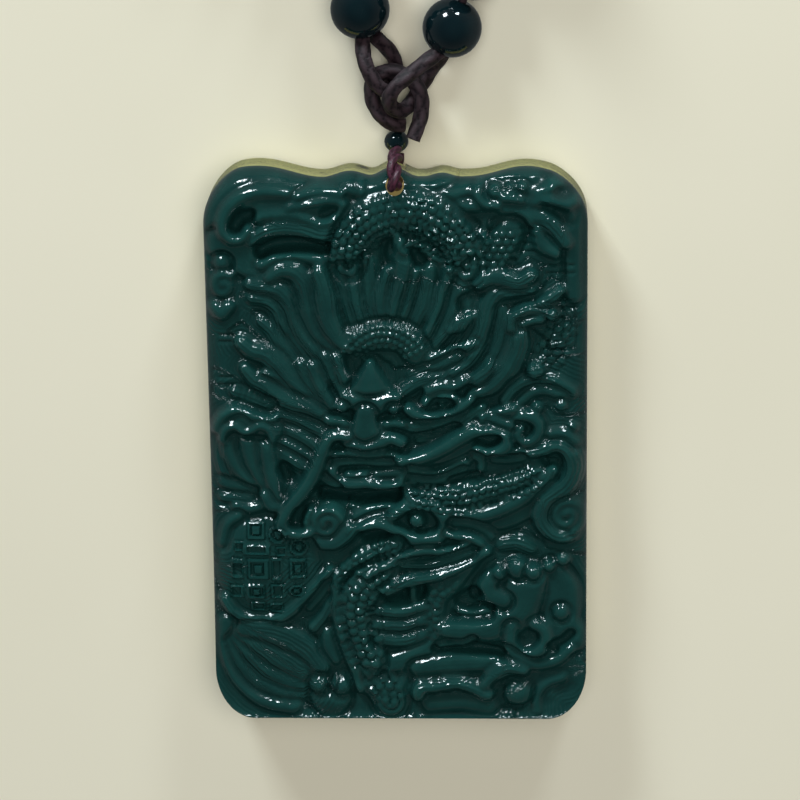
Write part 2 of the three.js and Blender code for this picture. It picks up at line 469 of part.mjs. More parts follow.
function bodyInTheMiddle() {
  strand([[-0.2, -9.8], [-2.4, -10.8], [-4.4, -12.1], [-5.6, -13.6]], [0.8, 1.2, 0.9], 7.2, 0.2);
  strand([[-3, -23.6], [-1.6, -25.2], [-1, -27.2]], [1.8, 2.2, 1.6], 6.9, 0.4);
  strand([
    [8, -11.2], [6.6, -12.6], [5.4, -14], [3.8, -15.4], [3.3, -17.4], [3.4, -19.4], [3, -21],
    [1.2, -22.3], [-1.2, -23],
  ], [0.6, 1.2, 1.2, 1], 6.9, 0.3);
  strand([
    [-1.6, -12.8], [-3.4, -14.2], [-4.3, -16.4], [-4.2, -18.6], [-3.7, -20.6], [-3, -22.6],
  ], [1.2, 1.9, 1.9, 1.3], 7.4, 0.1);
  strand([
    [-6.4, -13.4], [-6.5, -16], [-6.3, -18.6], [-5.5, -21.4], [-4.6, -23.8], [-4.1, -25.6],
  ], 0.4, 7.4);
  hollow([[-1, -15.3], [0.4, -15.2], [1.9, -15]], 1, 4.5);
  strand([[1.4, -14], [1.4, -15.8]], 0.35, 6.6);
  for (const y of [-17.1, -18.6, -20.1]) {
    strand([[-2.2, y], [0.3, y - 0.2], [2.2, y + 0.4]], 0.62, 7.1);
  }
  strand([
    [9, -10.5], [7.4, -11.3], [5.6, -12.3], [4, -13], [2.2, -13.4], [0.4, -13.9], [-1.2, -14.7],
  ], [0.4, 0.6, 0.6], 7.6);
  strand([[-3.4, -13], [-1.4, -12], [0.4, -11.2], [2.4, -10.4], [5, -10.5], [6.8, -10]], 0.45, 7.6);
  strand([[0.6, -12], [3, -12], [5.2, -11.4], [7.2, -10.7]], 0.45, 7.1);
  hollow([[1.4, -11.3], [2.6, -11.4]], 0.45, 6);
}

function pawAtRight() {
  strand([[15.6, -13], [16.6, -15], [16.4, -18], [17.4, -20]], [1.3, 1.8, 1.6], 6.7, 0.5);
  strand([
    [13.2, -13.6], [12.4, -15.4], [11.2, -17.2], [9.4, -18.5], [7, -19], [4.6, -19],
  ], [1.6, 2.1, 1.9, 1.1, 0.7], 7.5, 0.3);
  strand([[9.6, -13.2], [9, -14.2], [9.4, -15.2], [10.6, -15.8]], [0.7, 0.9, 0.8], 7.4, 0.2);
  strand([[10.4, -10], [12, -9.8], [13.4, -10.4]], [0.6, 0.9, 0.6], 6.8);
  knob(10.2, -12.8, 0.8, 7.7);
  knob(12, -12.3, 1.2, 7.9);
  knob(13.6, -12.7, 0.9, 7.8);
  knob(15.2, -12.1, 0.7, 7.4);
  hollow([[6.4, -16.2], [7.6, -15.4]], 1, 4.4);
  hollow([[5.8, -17.5], [7.6, -17], [9.2, -16.7]], [0.6, 0.8, 0.6], 4.4);
  strand([[6, -17.3], [7.4, -17.5], [9, -17.3]], 0.35, 6.2);
  knob(16.6, -11.4, 0.8, 7.3);
  knob(16.4, -17.2, 1, 7.2);
  strand([
    [11.4, -18.6], [11.3, -20.4], [12.2, -21.7], [13.7, -21.6], [14.8, -20.5], [14.7, -19.1],
    [13.8, -18.4],
  ], 0.6, 7.5);
  hollow([[12.8, -19.8], [13.6, -19.6]], 0.6, 5.6);
  hollow([[15.5, -20.8], [16.6, -20.4], [17.4, -19.6]], 0.65, 5.2);
  strand([[11, -21.2], [12.4, -22.4], [14, -22.9], [16, -22.4], [17.4, -21.2]], [0.4, 0.6, 0.5], 7);
}

function bottomClouds() {
  strand([[1.8, -23.4], [4.4, -23], [7, -22.8], [9.4, -22.7]], [0.8, 1.1, 0.9], 6.9, 0.3);
  hollow([[3.6, -21.2], [6, -20.9], [8, -21.2], [10.4, -21.6]], [0.5, 0.7, 0.7, 0.5], 4.8);
  strand([[4, -20.9], [5.4, -20.7], [6.6, -20.6], [7.4, -20.1]], 0.3, 6.6);
  strand([[3, -27.4], [6, -27.2], [9, -27.6]], 0.9, 6.7);
  strand([[1.8, -26.2], [2, -25.4], [4, -25.2], [5.8, -24.9], [7.4, -25.4], [8.9, -26.1]], 0.6, 7.5);
  strand([[8.6, -25], [9.6, -23.9], [11, -23.2], [12.6, -23.5]], [0.5, 0.8, 0.5], 7.5);
  strand([[14, -28], [14, -26.2], [15, -25], [16.6, -24.4]], 0.5, 6.7);
  knob(12, -26, 1.6, 7.2);
  hollow([[16.4, -26], [17.2, -25.4]], 0.8, 5.4);
  hollow([[15, -27.2], [16, -27]], 0.5, 5.6);
  hollow([[10.6, -27.8], [12.2, -27.7]], 0.4, 5.2);
}

cloudsAtTopLeft();
cloudsAtTopRight();
crown();
maneAtLeft();
maneAtRight();
face();
rightScroll();
cloudsInTheMiddle();
whiskers();
pawAtLeft();
shieldAtLeft();
waveAtBottomLeft();
bodyInTheMiddle();
pawAtRight();
bottomClouds();

// The face's height at a point: the carving, softened by a small blur, then rounded off at the rim
function faceHeight(x, y) {
  let sum = 0;
  for (const dx of [-BLUR, 0, BLUR]) {
    for (const dy of [-BLUR, 0, BLUR]) {
      sum += forms.reduce((z, form) => form(x / stretchX + dx, y / stretchY + dy, z), GROUND / stretchZ);
    }
  }
  const carved = (sum / 9) * stretchZ;
  const rim = Math.min(1, insideBy(x, y) / RIM_ROUNDING);
  return WALL_TOP + (carved - WALL_TOP) * Math.sqrt(1 - (1 - rim) ** 2);
}

// Rows that crowd together round the corners, so that the outline there is an even arc
function rowHeights() {
  const straight = halfHeight - CORNER_HEIGHT;
  const corner = [];
  for (let i = 1; i <= ROWS_IN_CORNER; i++) {
    corner.push(straight + CORNER_HEIGHT * Math.sin((i / ROWS_IN_CORNER) * (Math.PI / 2)));
  }
  const side = [];
  for (let i = 0; i <= ROWS_ALONG_SIDE; i++) side.push(straight * (-1 + (2 * i) / ROWS_ALONG_SIDE));
  return [...corner.map((y) => -y).reverse(), ...side, ...corner];
}

function plaqueGeometry() {
  const rows = rowHeights();
  const vertices = [];
  const faces = [];
  for (const row of rows) {
    const reach = halfWidth - cornerDrop(row, halfHeight - CORNER_HEIGHT, CORNER_HEIGHT, CORNER_WIDTH);
    for (let i = 0; i <= COLUMNS; i++) {
      const x = reach * (-1 + (2 * i) / COLUMNS);
      const y = row - topDip(x) * Math.max(0, row / halfHeight) ** 3;
      vertices.push([x, y, faceHeight(x, y)]);
    }
  }
  const at = (row, column) => row * (COLUMNS + 1) + column;
  for (let j = 0; j + 1 < rows.length; j++) {
    for (let i = 0; i < COLUMNS; i++) {
      faces.push([at(j, i), at(j, i + 1), at(j + 1, i + 1)], [at(j, i), at(j + 1, i + 1), at(j + 1, i)]);
    }
  }

  // The side wall and the rounded back edge, ring by ring round the outline, then the flat back
  const last = rows.length - 1;
  const loop = [];
  for (let i = 0; i < COLUMNS; i++) loop.push(at(0, i));
  for (let j = 0; j < last; j++) loop.push(at(j, COLUMNS));
  for (let i = COLUMNS; i > 0; i--) loop.push(at(last, i));
  for (let j = last; j > 0; j--) loop.push(at(j, 0));
  const inset = 1 - BACK_EDGE_ROUNDING / halfWidth;
  let above = loop;
  for (const [shrink, z] of [[1, BACK_EDGE_ROUNDING], [inset, 0]]) {
    const ring = loop.map((index) => {
      const [x, y] = vertices[index];
      return vertices.push([x * shrink, y * shrink, z]) - 1;
    });
    for (let k = 0; k < loop.length; k++) {
      const next = (k + 1) % loop.length;
      faces.push([above[k], ring[next], above[next]], [above[k], ring[k], ring[next]]);
    }
    above = ring;
  }
  const back = vertices.push([0, 0, 0]) - 1;
  for (let k = 0; k < above.length; k++) faces.push([above[k], back, above[(k + 1) % above.length]]);

  return new THREE.BufferGeometry()
    .setAttribute("position", new THREE.Float32BufferAttribute(vertices.flat(), 3))
    .setIndex(faces.flat());
}

// Boolean cuts on closed meshes
const wasm = await Module();
wasm.setup();

function solid(geometry) {
  const bare = geometry.clone();
  bare.deleteAttribute("normal");
  bare.deleteAttribute("uv");
  const merged = mergeVertices(bare);
  const vertProperties = new Float32Array(merged.attributes.position.array);
  const triVerts = new Uint32Array(merged.index.array);
  return new wasm.Manifold(new wasm.Mesh({ numProp: 3, vertProperties, triVerts }));
}

function geometryOf(manifold) {
  const mesh = manifold.getMesh();
  return new THREE.BufferGeometry()
    .setAttribute("position", new THREE.Float32BufferAttribute(mesh.vertProperties, 3))
    .setIndex(Array.from(mesh.triVerts));
}

function plaque() {
  const drill = new THREE.CylinderGeometry(HOLE_DIAMETER / 2, HOLE_DIAMETER / 2, DRILL_LENGTH, DRILL_SIDES)
    .rotateX(Math.PI / 2)
    .translate(HOLE_X, holeY, 0);
  const grooveLength = HOLE_BELOW_TOP + GROOVE_OVERRUN;
  const groove = new THREE.BoxGeometry(GROOVE_WIDTH, grooveLength, 2 * GROOVE_DEPTH)
    .translate(HOLE_X, holeY + grooveLength / 2, 0);
  const cut = solid(plaqueGeometry()).subtract(solid(drill)).subtract(solid(groove));
  place("plaque", geometryOf(cut), darkStone);
}

function tube(name, points, diameter, steps) {
  const section = new THREE.Shape().absarc(0, 0, diameter / 2, 0, Math.PI * 2);
  const onPlaque = points.map(([x, y, z]) => new THREE.Vector3(x, y + halfHeight, z));
  const path = new THREE.CatmullRomCurve3(onPlaque);
  const options = { steps, extrudePath: path, bevelEnabled: false, curveSegments: TUBE_SIDES / 2 };
  place(name, new THREE.ExtrudeGeometry(section, options), brownCord);
}

// The cords and beads are drawn with y counted from the plaque's top edge.
// The thin loop: under the plaque in the groove, up through the hole and over the top edge
const SPACER_Y = 1.8;
const SPACER_Z = 1.35;
const HANGING_LOOP = [
  [HOLE_X, 0.25, 0.65], [HOLE_X, -0.8, 0.65], [HOLE_X, -1.45, 0.95], [HOLE_X, -HOLE_BELOW_TOP, 1.9],
  [HOLE_X, -HOLE_BELOW_TOP, 4.2], [HOLE_X, -HOLE_BELOW_TOP, 6.4], [HOLE_X, -1.3, 7.4],
  [HOLE_X, -0.4, 7.7], [HOLE_X, 0.5, 7.1], [HOLE_X, 0.9, 6], [HOLE_X, 0.95, 4.4], [HOLE_X, 1.05, 3],
];

// The eye above the spacer bead, and the two doubled cord ends that hook into it
const EYE_LOOP = [
  [0.3, 3.9, 2.45], [-0.9, 4.4, 2.45], [-2, 5.5, 2.45], [-2.6, 6.9, 2.45], [-2.4, 8.3, 2.45],
  [-1.4, 9.3, 2.45], [0.2, 9.4, 2.45], [1.9, 8.7, 2.45], [3, 7.4, 2.45], [3.1, 5.8, 2.45],
  [2.5, 4.6, 2.45],
];
const CORD_LEFT = [
  [-3.5, 11.9, 3.6], [-3.1, 10.8, 4], [-2.5, 9.5, 4.2], [-1.7, 8.3, 4.1], [-0.9, 7.5, 3.5],
  [-0.6, 7.2, 2.45], [-0.7, 7.4, 1.4], [-0.4, 8.2, 0.8], [0.1, 9.5, 0.75], [-0.3, 10.9, 0.9],
  [-1.5, 11.9, 1.8],
];
const CORD_RIGHT = [
  [4.1, 10.5, 4.2], [3.2, 9.9, 4.6], [2, 9.1, 5], [0.9, 8, 5.3], [0.2, 6.8, 5.2], [0.1, 5.9, 4.4],
  [0.4, 5.5, 3.3], [0.8, 5.5, 2], [1.2, 6, 1], [1.9, 7.4, 0.75], [2.9, 9, 0.8], [4, 10.1, 1.5],
];

function cords() {
  tube("hanging_loop", HANGING_LOOP, LOOP_CORD, 22);
  tube("eye_loop", EYE_LOOP, CORD, 18);
  tube("cord_left", CORD_LEFT, CORD, 20);
  tube("cord_right", CORD_RIGHT, CORD, 20);
}

function bead(name, x, y, diameter, z) {
  const ball = new THREE.SphereGeometry(diameter / 2, BEAD_SIDES, Math.round(BEAD_SIDES * 0.6));
  place(name, ball, beadStone).position.set(x, y + halfHeight, z);
}

// The first beads of each side, in the direction in which the necklace leaves the cords
const BEADS_LEFT = { x: -3.2, y: 15.3, direction: 1.72, count: 2 };
const BEADS_RIGHT = { x: 5.7, y: 13.3, direction: 1.2, count: 2 };

function beads() {
  for (const [side, row] of [["left", BEADS_LEFT], ["right", BEADS_RIGHT]]) {
    for (let i = 0; i < row.count; i++) {
      const x = row.x + i * BEAD_STEP * Math.cos(row.direction);
      const y = row.y + i * BEAD_STEP * Math.sin(row.direction);
      bead(`bead_${side}_${i + 1}`, x, y, BEAD, BEAD / 2);
    }
  }
  bead("spacer_bead", HOLE_X, SPACER_Y, SPACER_BEAD, SPACER_Z);
}

// The rest of the necklace lies wound up beside the pendant: one ring of its outer shape
const COIL_X = 2;
const COIL_Y = 58.2;

function coil() {
  const r = COIL_EDGE_ROUNDING;
  const profile = [
    [COIL_INNER_RADIUS + r, 0], [COIL_OUTER_RADIUS - r, 0], [COIL_OUTER_RADIUS, r],
    [COIL_OUTER_RADIUS, BEAD - r], [COIL_OUTER_RADIUS - r, BEAD], [COIL_INNER_RADIUS + r, BEAD],
    [COIL_INNER_RADIUS, BEAD - r], [COIL_INNER_RADIUS, r], [COIL_INNER_RADIUS + r, 0],
  ].map(([x, y]) => new THREE.Vector2(x, y));
  const ring = new THREE.LatheGeometry(profile, COIL_SIDES).rotateX(Math.PI / 2);
  place("necklace_coil", ring, beadStone).position.set(COIL_X, COIL_Y + halfHeight, 0);
}

plaque();
cords();
beads();
coil();

export default group;
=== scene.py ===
# %% [markdown]
# # A carved stone pendant on a bead necklace
#
# The real piece is a small plaque of two-coloured stone. Its dark green face is carved with a
# dragon's head among clouds, and its tan back shows as a thin band over the top edge. A thin
# loop goes through a drilled hole, and braided cords join it to a string of round beads.
# This lesson builds it in the frame that the CAD model gives, in metres, piece by piece.

import math

import bmesh
import bpy
import numpy as np
from mathutils import Matrix, Vector


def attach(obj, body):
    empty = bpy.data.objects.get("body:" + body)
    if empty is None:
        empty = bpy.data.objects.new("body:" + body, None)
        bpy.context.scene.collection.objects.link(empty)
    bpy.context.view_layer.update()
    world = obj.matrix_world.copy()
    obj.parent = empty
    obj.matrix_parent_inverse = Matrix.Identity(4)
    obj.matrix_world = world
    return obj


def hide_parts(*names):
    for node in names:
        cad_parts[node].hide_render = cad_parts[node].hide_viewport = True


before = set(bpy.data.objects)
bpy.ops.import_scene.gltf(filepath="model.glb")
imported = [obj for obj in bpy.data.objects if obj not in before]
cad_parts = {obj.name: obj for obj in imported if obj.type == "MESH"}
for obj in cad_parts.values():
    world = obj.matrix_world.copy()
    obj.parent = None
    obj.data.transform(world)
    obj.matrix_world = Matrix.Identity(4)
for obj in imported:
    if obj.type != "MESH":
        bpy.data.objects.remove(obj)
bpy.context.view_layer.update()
MM = 0.001

# %% [markdown]
# ## The camera and the lights
#
# The pendant can't stand unheld, so it lies on its back and the camera looks down on it, tilted
# a little towards the cord, as far away as the photograph's perspective says. The beads mirror
# two small windows of light above the camera and little else, so the scene has two small soft
# boxes and a dim sky that is a little paler at the horizon. A large lamp lights the floor and
# the recesses evenly. It is hidden from reflections, because polished stone would show it.

# %% Camera
TARGET = Vector((0, 0, 4)) * MM
TILT, TURN, ROLL = math.radians(18), math.radians(2.6), math.radians(0.8)
DISTANCE = 340 * MM

toward = Vector((math.sin(TURN) * math.cos(TILT), math.sin(TILT), math.cos(TURN) * math.cos(TILT)))
level_right = (-toward).cross(Vector((0, 1, 0))).normalized()
level_up = level_right.cross(-toward)
up = level_up * math.cos(ROLL) + level_right * math.sin(ROLL)
right = level_right * math.cos(ROLL) - level_up * math.sin(ROLL)

lens = bpy.data.cameras.new("camera")
lens.lens, lens.sensor_width = 151.5, 36
lens.shift_x, lens.shift_y = 0.002, 0.0546
lens.clip_start = 0.01
camera = bpy.data.objects.new("camera", lens)
bpy.context.collection.objects.link(camera)
turned = Matrix((right, up, toward)).transposed().to_4x4()
camera.matrix_world = Matrix.Translation(TARGET + toward * DISTANCE) @ turned
bpy.context.scene.camera = camera
bpy.context.scene.view_settings.view_transform = "Standard"
print("camera at mm:", [round(1000 * c) for c in camera.location])


# %% Soft boxes and sky
COOL_WHITE, WARM_WHITE = (0.84, 0.95, 1.0), (1.0, 0.985, 0.93)


def soft_box(name, across, above, near, distance, size, watts, colour=COOL_WHITE):
    """A square lamp, placed by how far it is to the right of, above and in front of the plaque."""
    direction = (right * across + up * above + toward * near).normalized()
    lamp = bpy.data.lights.new(name, "AREA")
    lamp.size, lamp.energy, lamp.color = size, watts, colour
    holder = bpy.data.objects.new(name, lamp)
    bpy.context.collection.objects.link(holder)
    holder.location = TARGET + direction * distance
    holder.rotation_euler = direction.to_track_quat("Z", "Y").to_euler()
    return holder


soft_box("left_box", -0.39, 0.69, 0.58, 0.7, 0.15, 3.2)
soft_box("right_box", 0.27, 0.78, 0.57, 0.7, 0.12, 1.9)
ceiling = soft_box("ceiling", 0.1, -0.1, 0.9, 0.9, 0.7, 6.1, WARM_WHITE)
ceiling.visible_glossy = False

SKY_AT_HORIZON, SKY_OVERHEAD, SKY_STRENGTH = (0.3, 0.32, 0.31, 1), (0.08, 0.1, 0.11, 1), 0.48
sky = bpy.data.worlds.new("sky")
bpy.context.scene.world = sky
sky.use_nodes = True
sky_nodes, sky_links = sky.node_tree.nodes, sky.node_tree.links
height = sky_nodes.new("ShaderNodeSeparateXYZ")
shade = sky_nodes.new("ShaderNodeValToRGB")
sky_links.new(sky_nodes.new("ShaderNodeTexCoord").outputs["Generated"], height.inputs[0])
sky_links.new(height.outputs["Z"], shade.inputs["Fac"])
horizon, overhead = shade.color_ramp.elements
horizon.position, horizon.color = 0.0, SKY_AT_HORIZON
overhead.position, overhead.color = 0.75, SKY_OVERHEAD
sky_links.new(shade.outputs["Color"], sky_nodes["Background"].inputs["Color"])
sky_nodes["Background"].inputs["Strength"].default_value = SKY_STRENGTH
print("lamps:", [lamp.name for lamp in bpy.data.lights])

# %% [markdown]
# ## Materials as sums
#
# A finish is easier to read as arithmetic than as a web of nodes. The small class below wraps a
# socket, so that adding or multiplying two of them adds the Math node that does it.


# %% A socket that can be added and multiplied
class Shade:
    def __init__(self, tree, socket):
        self.tree, self.socket = tree, socket

    def math(self, operation, other, swap=False):
        node = self.tree.nodes.new("ShaderNodeMath")
        node.operation = operation
        for slot, value in zip(node.inputs, (other, self) if swap else (self, other)):
            if isinstance(value, Shade):
                self.tree.links.new(value.socket, slot)
            else:
                slot.default_value = value
        return Shade(self.tree, node.outputs[0])

    def __add__(self, other):
        return self.math("ADD", other)

    def __sub__(self, other):
        return self.math("SUBTRACT", other)

    def __rsub__(self, other):
        return self.math("SUBTRACT", other, swap=True)

    def __mul__(self, other):
        return self.math("MULTIPLY", other)

    __radd__, __rmul__ = __add__, __mul__


class Finish:
    """A material with one Principled shader, whose sockets take numbers, colours or sums."""

    def __init__(self, name):
        self.material = bpy.data.materials.new(name)
        self.material.use_nodes = True
        self.tree = self.material.node_tree
        self.shader = self.tree.nodes["Principled BSDF"]
        self.place = self.node("ShaderNodeTexCoord").outputs["Object"]

    def node(self, kind, settings=None, **sockets):
        """A node of that kind: its settings first, then the values or links of its sockets."""
        made = self.tree.nodes.new(kind)
        for key, value in (settings or {}).items():
            setattr(made, key, value)
        for key, value in sockets.items():
            self.put(made.inputs[key.replace("_", " ")], value)
        return made

    def put(self, socket, value):
        if isinstance(value, Shade):
            self.tree.links.new(value.socket, socket)
        elif isinstance(value, bpy.types.NodeSocket):
            self.tree.links.new(value, socket)
        else:
            socket.default_value = value

    def grain(self, size_mm, detail=3.0):
        """Noise from 0 to 1 whose lumps are about that many millimetres across."""
        noise_node = self.node("ShaderNodeTexNoise", Vector=self.place, Scale=1 / (size_mm * MM))
        noise_node.inputs["Detail"].default_value = detail
        return Shade(self.tree, noise_node.outputs["Fac"])

    def attribute(self, name):
        read = self.node("ShaderNodeAttribute", {"attribute_name": name})
        return Shade(self.tree, read.outputs["Fac"])

    def between(self, value, low, high):
        """0 below low, 1 above high and smooth between them."""
        node = self.node("ShaderNodeMapRange", {"interpolation_type": "SMOOTHSTEP"}, Value=value)
        node.inputs["From Min"].default_value, node.inputs["From Max"].default_value = low, high
        return Shade(self.tree, node.outputs["Result"])

    def blend(self, mask, first, second):
        """The first colour where the mask is 0 and the second where it is 1."""
        node = self.tree.nodes.new("ShaderNodeMix")
        node.data_type = "RGBA"
        self.put(node.inputs[0], mask)
        self.put(node.inputs[6], first)
        self.put(node.inputs[7], second)
        return node.outputs[2]

    def bump(self, height, depth_mm):
        node = self.node("ShaderNodeBump", Height=height)
        node.inputs["Strength"].default_value = 1.0
        node.inputs["Distance"].default_value = depth_mm * MM
        self.put(self.shader.inputs["Normal"], node.outputs[0])


def srgb(red, green, blue):
    """A colour as a picture shows it, 0 to 255, in the linear light that shaders work in."""
    parts = [c / 255 for c in (red, green, blue)]
    return (*[c / 12.92 if c < 0.04045 else ((c + 0.055) / 1.055) ** 2.4 for c in parts], 1)


# %% [markdown]
# The stone is a dark teal. Its ridges are painted a lighter green and its recesses a darker one:
# painted light for light that enters the thin stone a little, and painted shade in the hollows.
# The carver polished the ridges and left the bottoms duller. Behind about half the thickness the
# stone turns tan, with a border that wavers, a few dark specks and one dark mark near the cord.
# Hair lines finer than the face's grid are bump, and run along the forms, since they read how far
# each point is from the line of its form. The wall of the hole has a painted glow, a faint tan
# emission that stands in for light coming through thin stone.


# %% Stone of the plaque
HAIR_SPACING, HAIR_DEPTH = 0.42, 0.055
HOLE_X, HOLE_Y, HOLE_RADIUS = 0.1, 27.35, 0.88
TAN_UP_TO, BORDER_WIDTH, BORDER_WAVER = 3.75, 0.25, 0.9
MARK_X, MARK_Z, MARK_HALF_WIDTH, MARK_HALF_HEIGHT = -3.3, 1.5, 0.75, 0.55


def plaque_stone():
    finish = Finish("plaque_stone")
    ridge = finish.attribute("ridge")
    apart = finish.node("ShaderNodeSeparateXYZ", Vector=finish.place)
    cloud = finish.grain(9.0)
    vein = finish.grain(2.2, detail=5.0)
    # Painted light and shade: by the ridge value, ridges get a lighter green and recesses a darker one.
    recess_painted_shade = finish.blend(cloud, srgb(11, 37, 36), srgb(16, 46, 44))
    ridge_painted_light = finish.blend(vein, srgb(16, 52, 51), srgb(25, 67, 63))
    green = finish.blend(finish.between(ridge + (vein - 0.5) * 0.35, 0.1, 1.0), recess_painted_shade, ridge_painted_light)
    tan = finish.blend(finish.grain(1.4, detail=4.0), srgb(150, 147, 86), srgb(178, 174, 112))
    specks = finish.between(finish.grain(0.9, detail=2.0), 0.70, 0.76)
    tan = finish.blend(specks * 0.7, tan, srgb(70, 52, 26))
    x, y, z = (Shade(finish.tree, apart.outputs[axis]) for axis in ("X", "Y", "Z"))
    mark_x = (x - MARK_X * MM) * (1 / (MARK_HALF_WIDTH * MM))
    mark_z = (z - MARK_Z * MM) * (1 / (MARK_HALF_HEIGHT * MM))
    mark = 1 - finish.between(mark_x * mark_x + mark_z * mark_z, 0.5, 1.0)
    tan = finish.blend(mark * 0.85, tan, srgb(40, 34, 22))
    level = z + (finish.grain(6.0) - 0.5) * (BORDER_WAVER * MM)
    is_green = finish.between(level, TAN_UP_TO * MM, (TAN_UP_TO + BORDER_WIDTH) * MM)
    finish.put(finish.shader.inputs["Base Color"], finish.blend(is_green, tan, green))
    dull = 0.24 - finish.between(ridge, 0.0, 0.7) * 0.14 + (vein - 0.5) * 0.08
    finish.put(finish.shader.inputs["Roughness"], dull)
    finish.shader.inputs["IOR"].default_value = 1.56
    hair = finish.attribute("hair") + (finish.grain(1.8) - 0.5) * 0.5
    lines = (hair * (2 * math.pi / HAIR_SPACING)).math("SINE", 0.0) * 0.5 + 0.5
    lined = finish.attribute("lined") * (0.4 + 0.8 * finish.between(finish.grain(4.0), 0.35, 0.6))
    tool_marks = finish.grain(0.5, detail=3.0)
    finish.bump(lines * lined + tool_marks * 0.6, HAIR_DEPTH)
    # Painted glow: the wall of the hole emits a faint tan light, standing in for light through thin
    # stone.
    from_axis_x, from_axis_y = x - HOLE_X * MM, y - HOLE_Y * MM
    away_squared = from_axis_x * from_axis_x + from_axis_y * from_axis_y
    inner, outer = (HOLE_RADIUS + 0.01) * MM, (HOLE_RADIUS + 0.03) * MM
    in_hole = 1 - finish.between(away_squared, inner**2, outer**2)
    painted_hole_glow = finish.blend(in_hole, (0, 0, 0, 1), srgb(196, 172, 104))
    finish.put(finish.shader.inputs["Emission Color"], painted_hole_glow)
    finish.shader.inputs["Emission Strength"].default_value = 0.3
    finish.material.cycles.emission_sampling = "NONE"
    return finish.material


def bead_stone():
    finish = Finish("bead_stone")
    colour = finish.blend(finish.grain(3.0, detail=4.0), srgb(5, 14, 19), srgb(11, 31, 35))
    finish.put(finish.shader.inputs["Base Color"], colour)
    finish.put(finish.shader.inputs["Roughness"], 0.05 + finish.grain(1.0) * 0.04)
    finish.shader.inputs["IOR"].default_value = 1.6
    finish.bump(finish.grain(2.5), 0.01)
    return finish.material


def cord_yarn(name, dark, light, gloss):
    """Twisted or braided yarn: painted shade between the yarns, painted light on their tops, and fibres
    along them.
    """
    finish = Finish(name)
    raised = finish.attribute("raised")
    fibre = finish.grain(0.12, detail=4.0)
    # Painted shade and light: low places between the yarns take the dark colour and raised tops the
    # light one, mixed with fibre tone.
    painted_shade_between_yarns = finish.between(raised * 0.8 + fibre * 0.5, 0.25, 1.1)
    finish.put(finish.shader.inputs["Base Color"], finish.blend(painted_shade_between_yarns, dark, light))
    finish.put(finish.shader.inputs["Roughness"], gloss + fibre * 0.25)
    finish.bump(fibre, 0.05)
    return finish.material


PLAQUE_STONE, BEAD_STONE = plaque_stone(), bead_stone()
# Each yarn's two colours are its painted shade and its painted light.
BRAIDED = cord_yarn("braided_yarn", srgb(12, 7, 11), srgb(54, 42, 47), 0.5)
THIN_YARN = cord_yarn("thin_yarn", srgb(24, 8, 16), srgb(76, 38, 54), 0.25)
print("finishes:", [m.name for m in bpy.data.materials])


# %% [markdown]
# ## Helpers for pieces
#
# Each piece is built in millimetres with the CAD frame's origin and shrunk to metres once, so
# its object stays at the origin. A cord is a ring of edges that is extruded from one place on
# its line to the next. Its braid is real relief: each point moves in or out by the yarn there.


# %% Finish a piece, and draw smooth lines
def finish_piece(name, bm, material, stands_for=()):
    bmesh.ops.scale(bm, vec=(MM, MM, MM), verts=bm.verts)
    mesh = bpy.data.meshes.new(name)
    bm.to_mesh(mesh)
    bm.free()
    mesh.materials.append(material)
    mesh.polygons.foreach_set("use_smooth", [True] * len(mesh.polygons))
    piece = bpy.data.objects.new(name, mesh)
    bpy.context.collection.objects.link(piece)
    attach(piece, "root")
    if stands_for:
        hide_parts(*stands_for)
    print(name, len(mesh.polygons), "faces")
    return piece


def smooth_line(points, steps=8):
    """A Catmull-Rom line through the points, in as many dimensions as they have."""
    guide = np.array([points[0], *points, points[-1]], float)
    t = np.arange(steps)[:, None] / steps
    line = []
    for a, b, c, d in zip(guide, guide[1:], guide[2:], guide[3:]):
        half = 2 * b + (c - a) * t + (2 * a - 5 * b + 4 * c - d) * t**2 + (3 * b - a - 3 * c + d) * t**3
        line.append(half / 2)
    return np.vstack([*line, guide[-1:]])


def even_line(points, step):
    """The same line with its points one step apart, as near as a whole number of steps allows."""
    fine = smooth_line(points, 24)
    along = np.concatenate([[0], np.cumsum(np.linalg.norm(np.diff(fine, axis=0), axis=1))])
    places = np.linspace(0, along[-1], max(2, round(along[-1] / step)) + 1)
    return np.stack([np.interp(places, along, fine[:, k]) for k in range(3)], 1), places


# %% Sweep a cord
def frames_along(line):
    """A place and direction at each point of a line, turned as little as possible on the way."""
    tangents = np.gradient(line, axis=0)
    frames, side = [], Vector((0.3, 0.2, 1)).cross(Vector(tangents[0])).normalized()
    for place, tangent in zip(line, tangents):
        ahead = Vector(tangent).normalized()
        side = (side - ahead * side.dot(ahead)).normalized()
        turned_to = Matrix((side, ahead.cross(side), ahead)).transposed().to_4x4()
        frames.append(Matrix.Translation(Vector(place)) @ turned_to)
    return frames


def braid(angle, along, radius, yarns=4):
    """How high a yarn stands, 0 to 1, where two sets of yarns wind round and pass over each other."""
    turn = along / (radius * 1.25)
    a, b = (yarns * angle + turn * yarns / 2) / 2, (yarns * angle - turn * yarns / 2) / 2
    first = (math.floor(a / math.pi) + math.floor(b / math.pi)) % 2 == 0
    over, under = (a, b) if first else (b, a)
    return abs(math.sin(over)) ** 0.6 * (0.55 + 0.45 * abs(math.sin(under)))


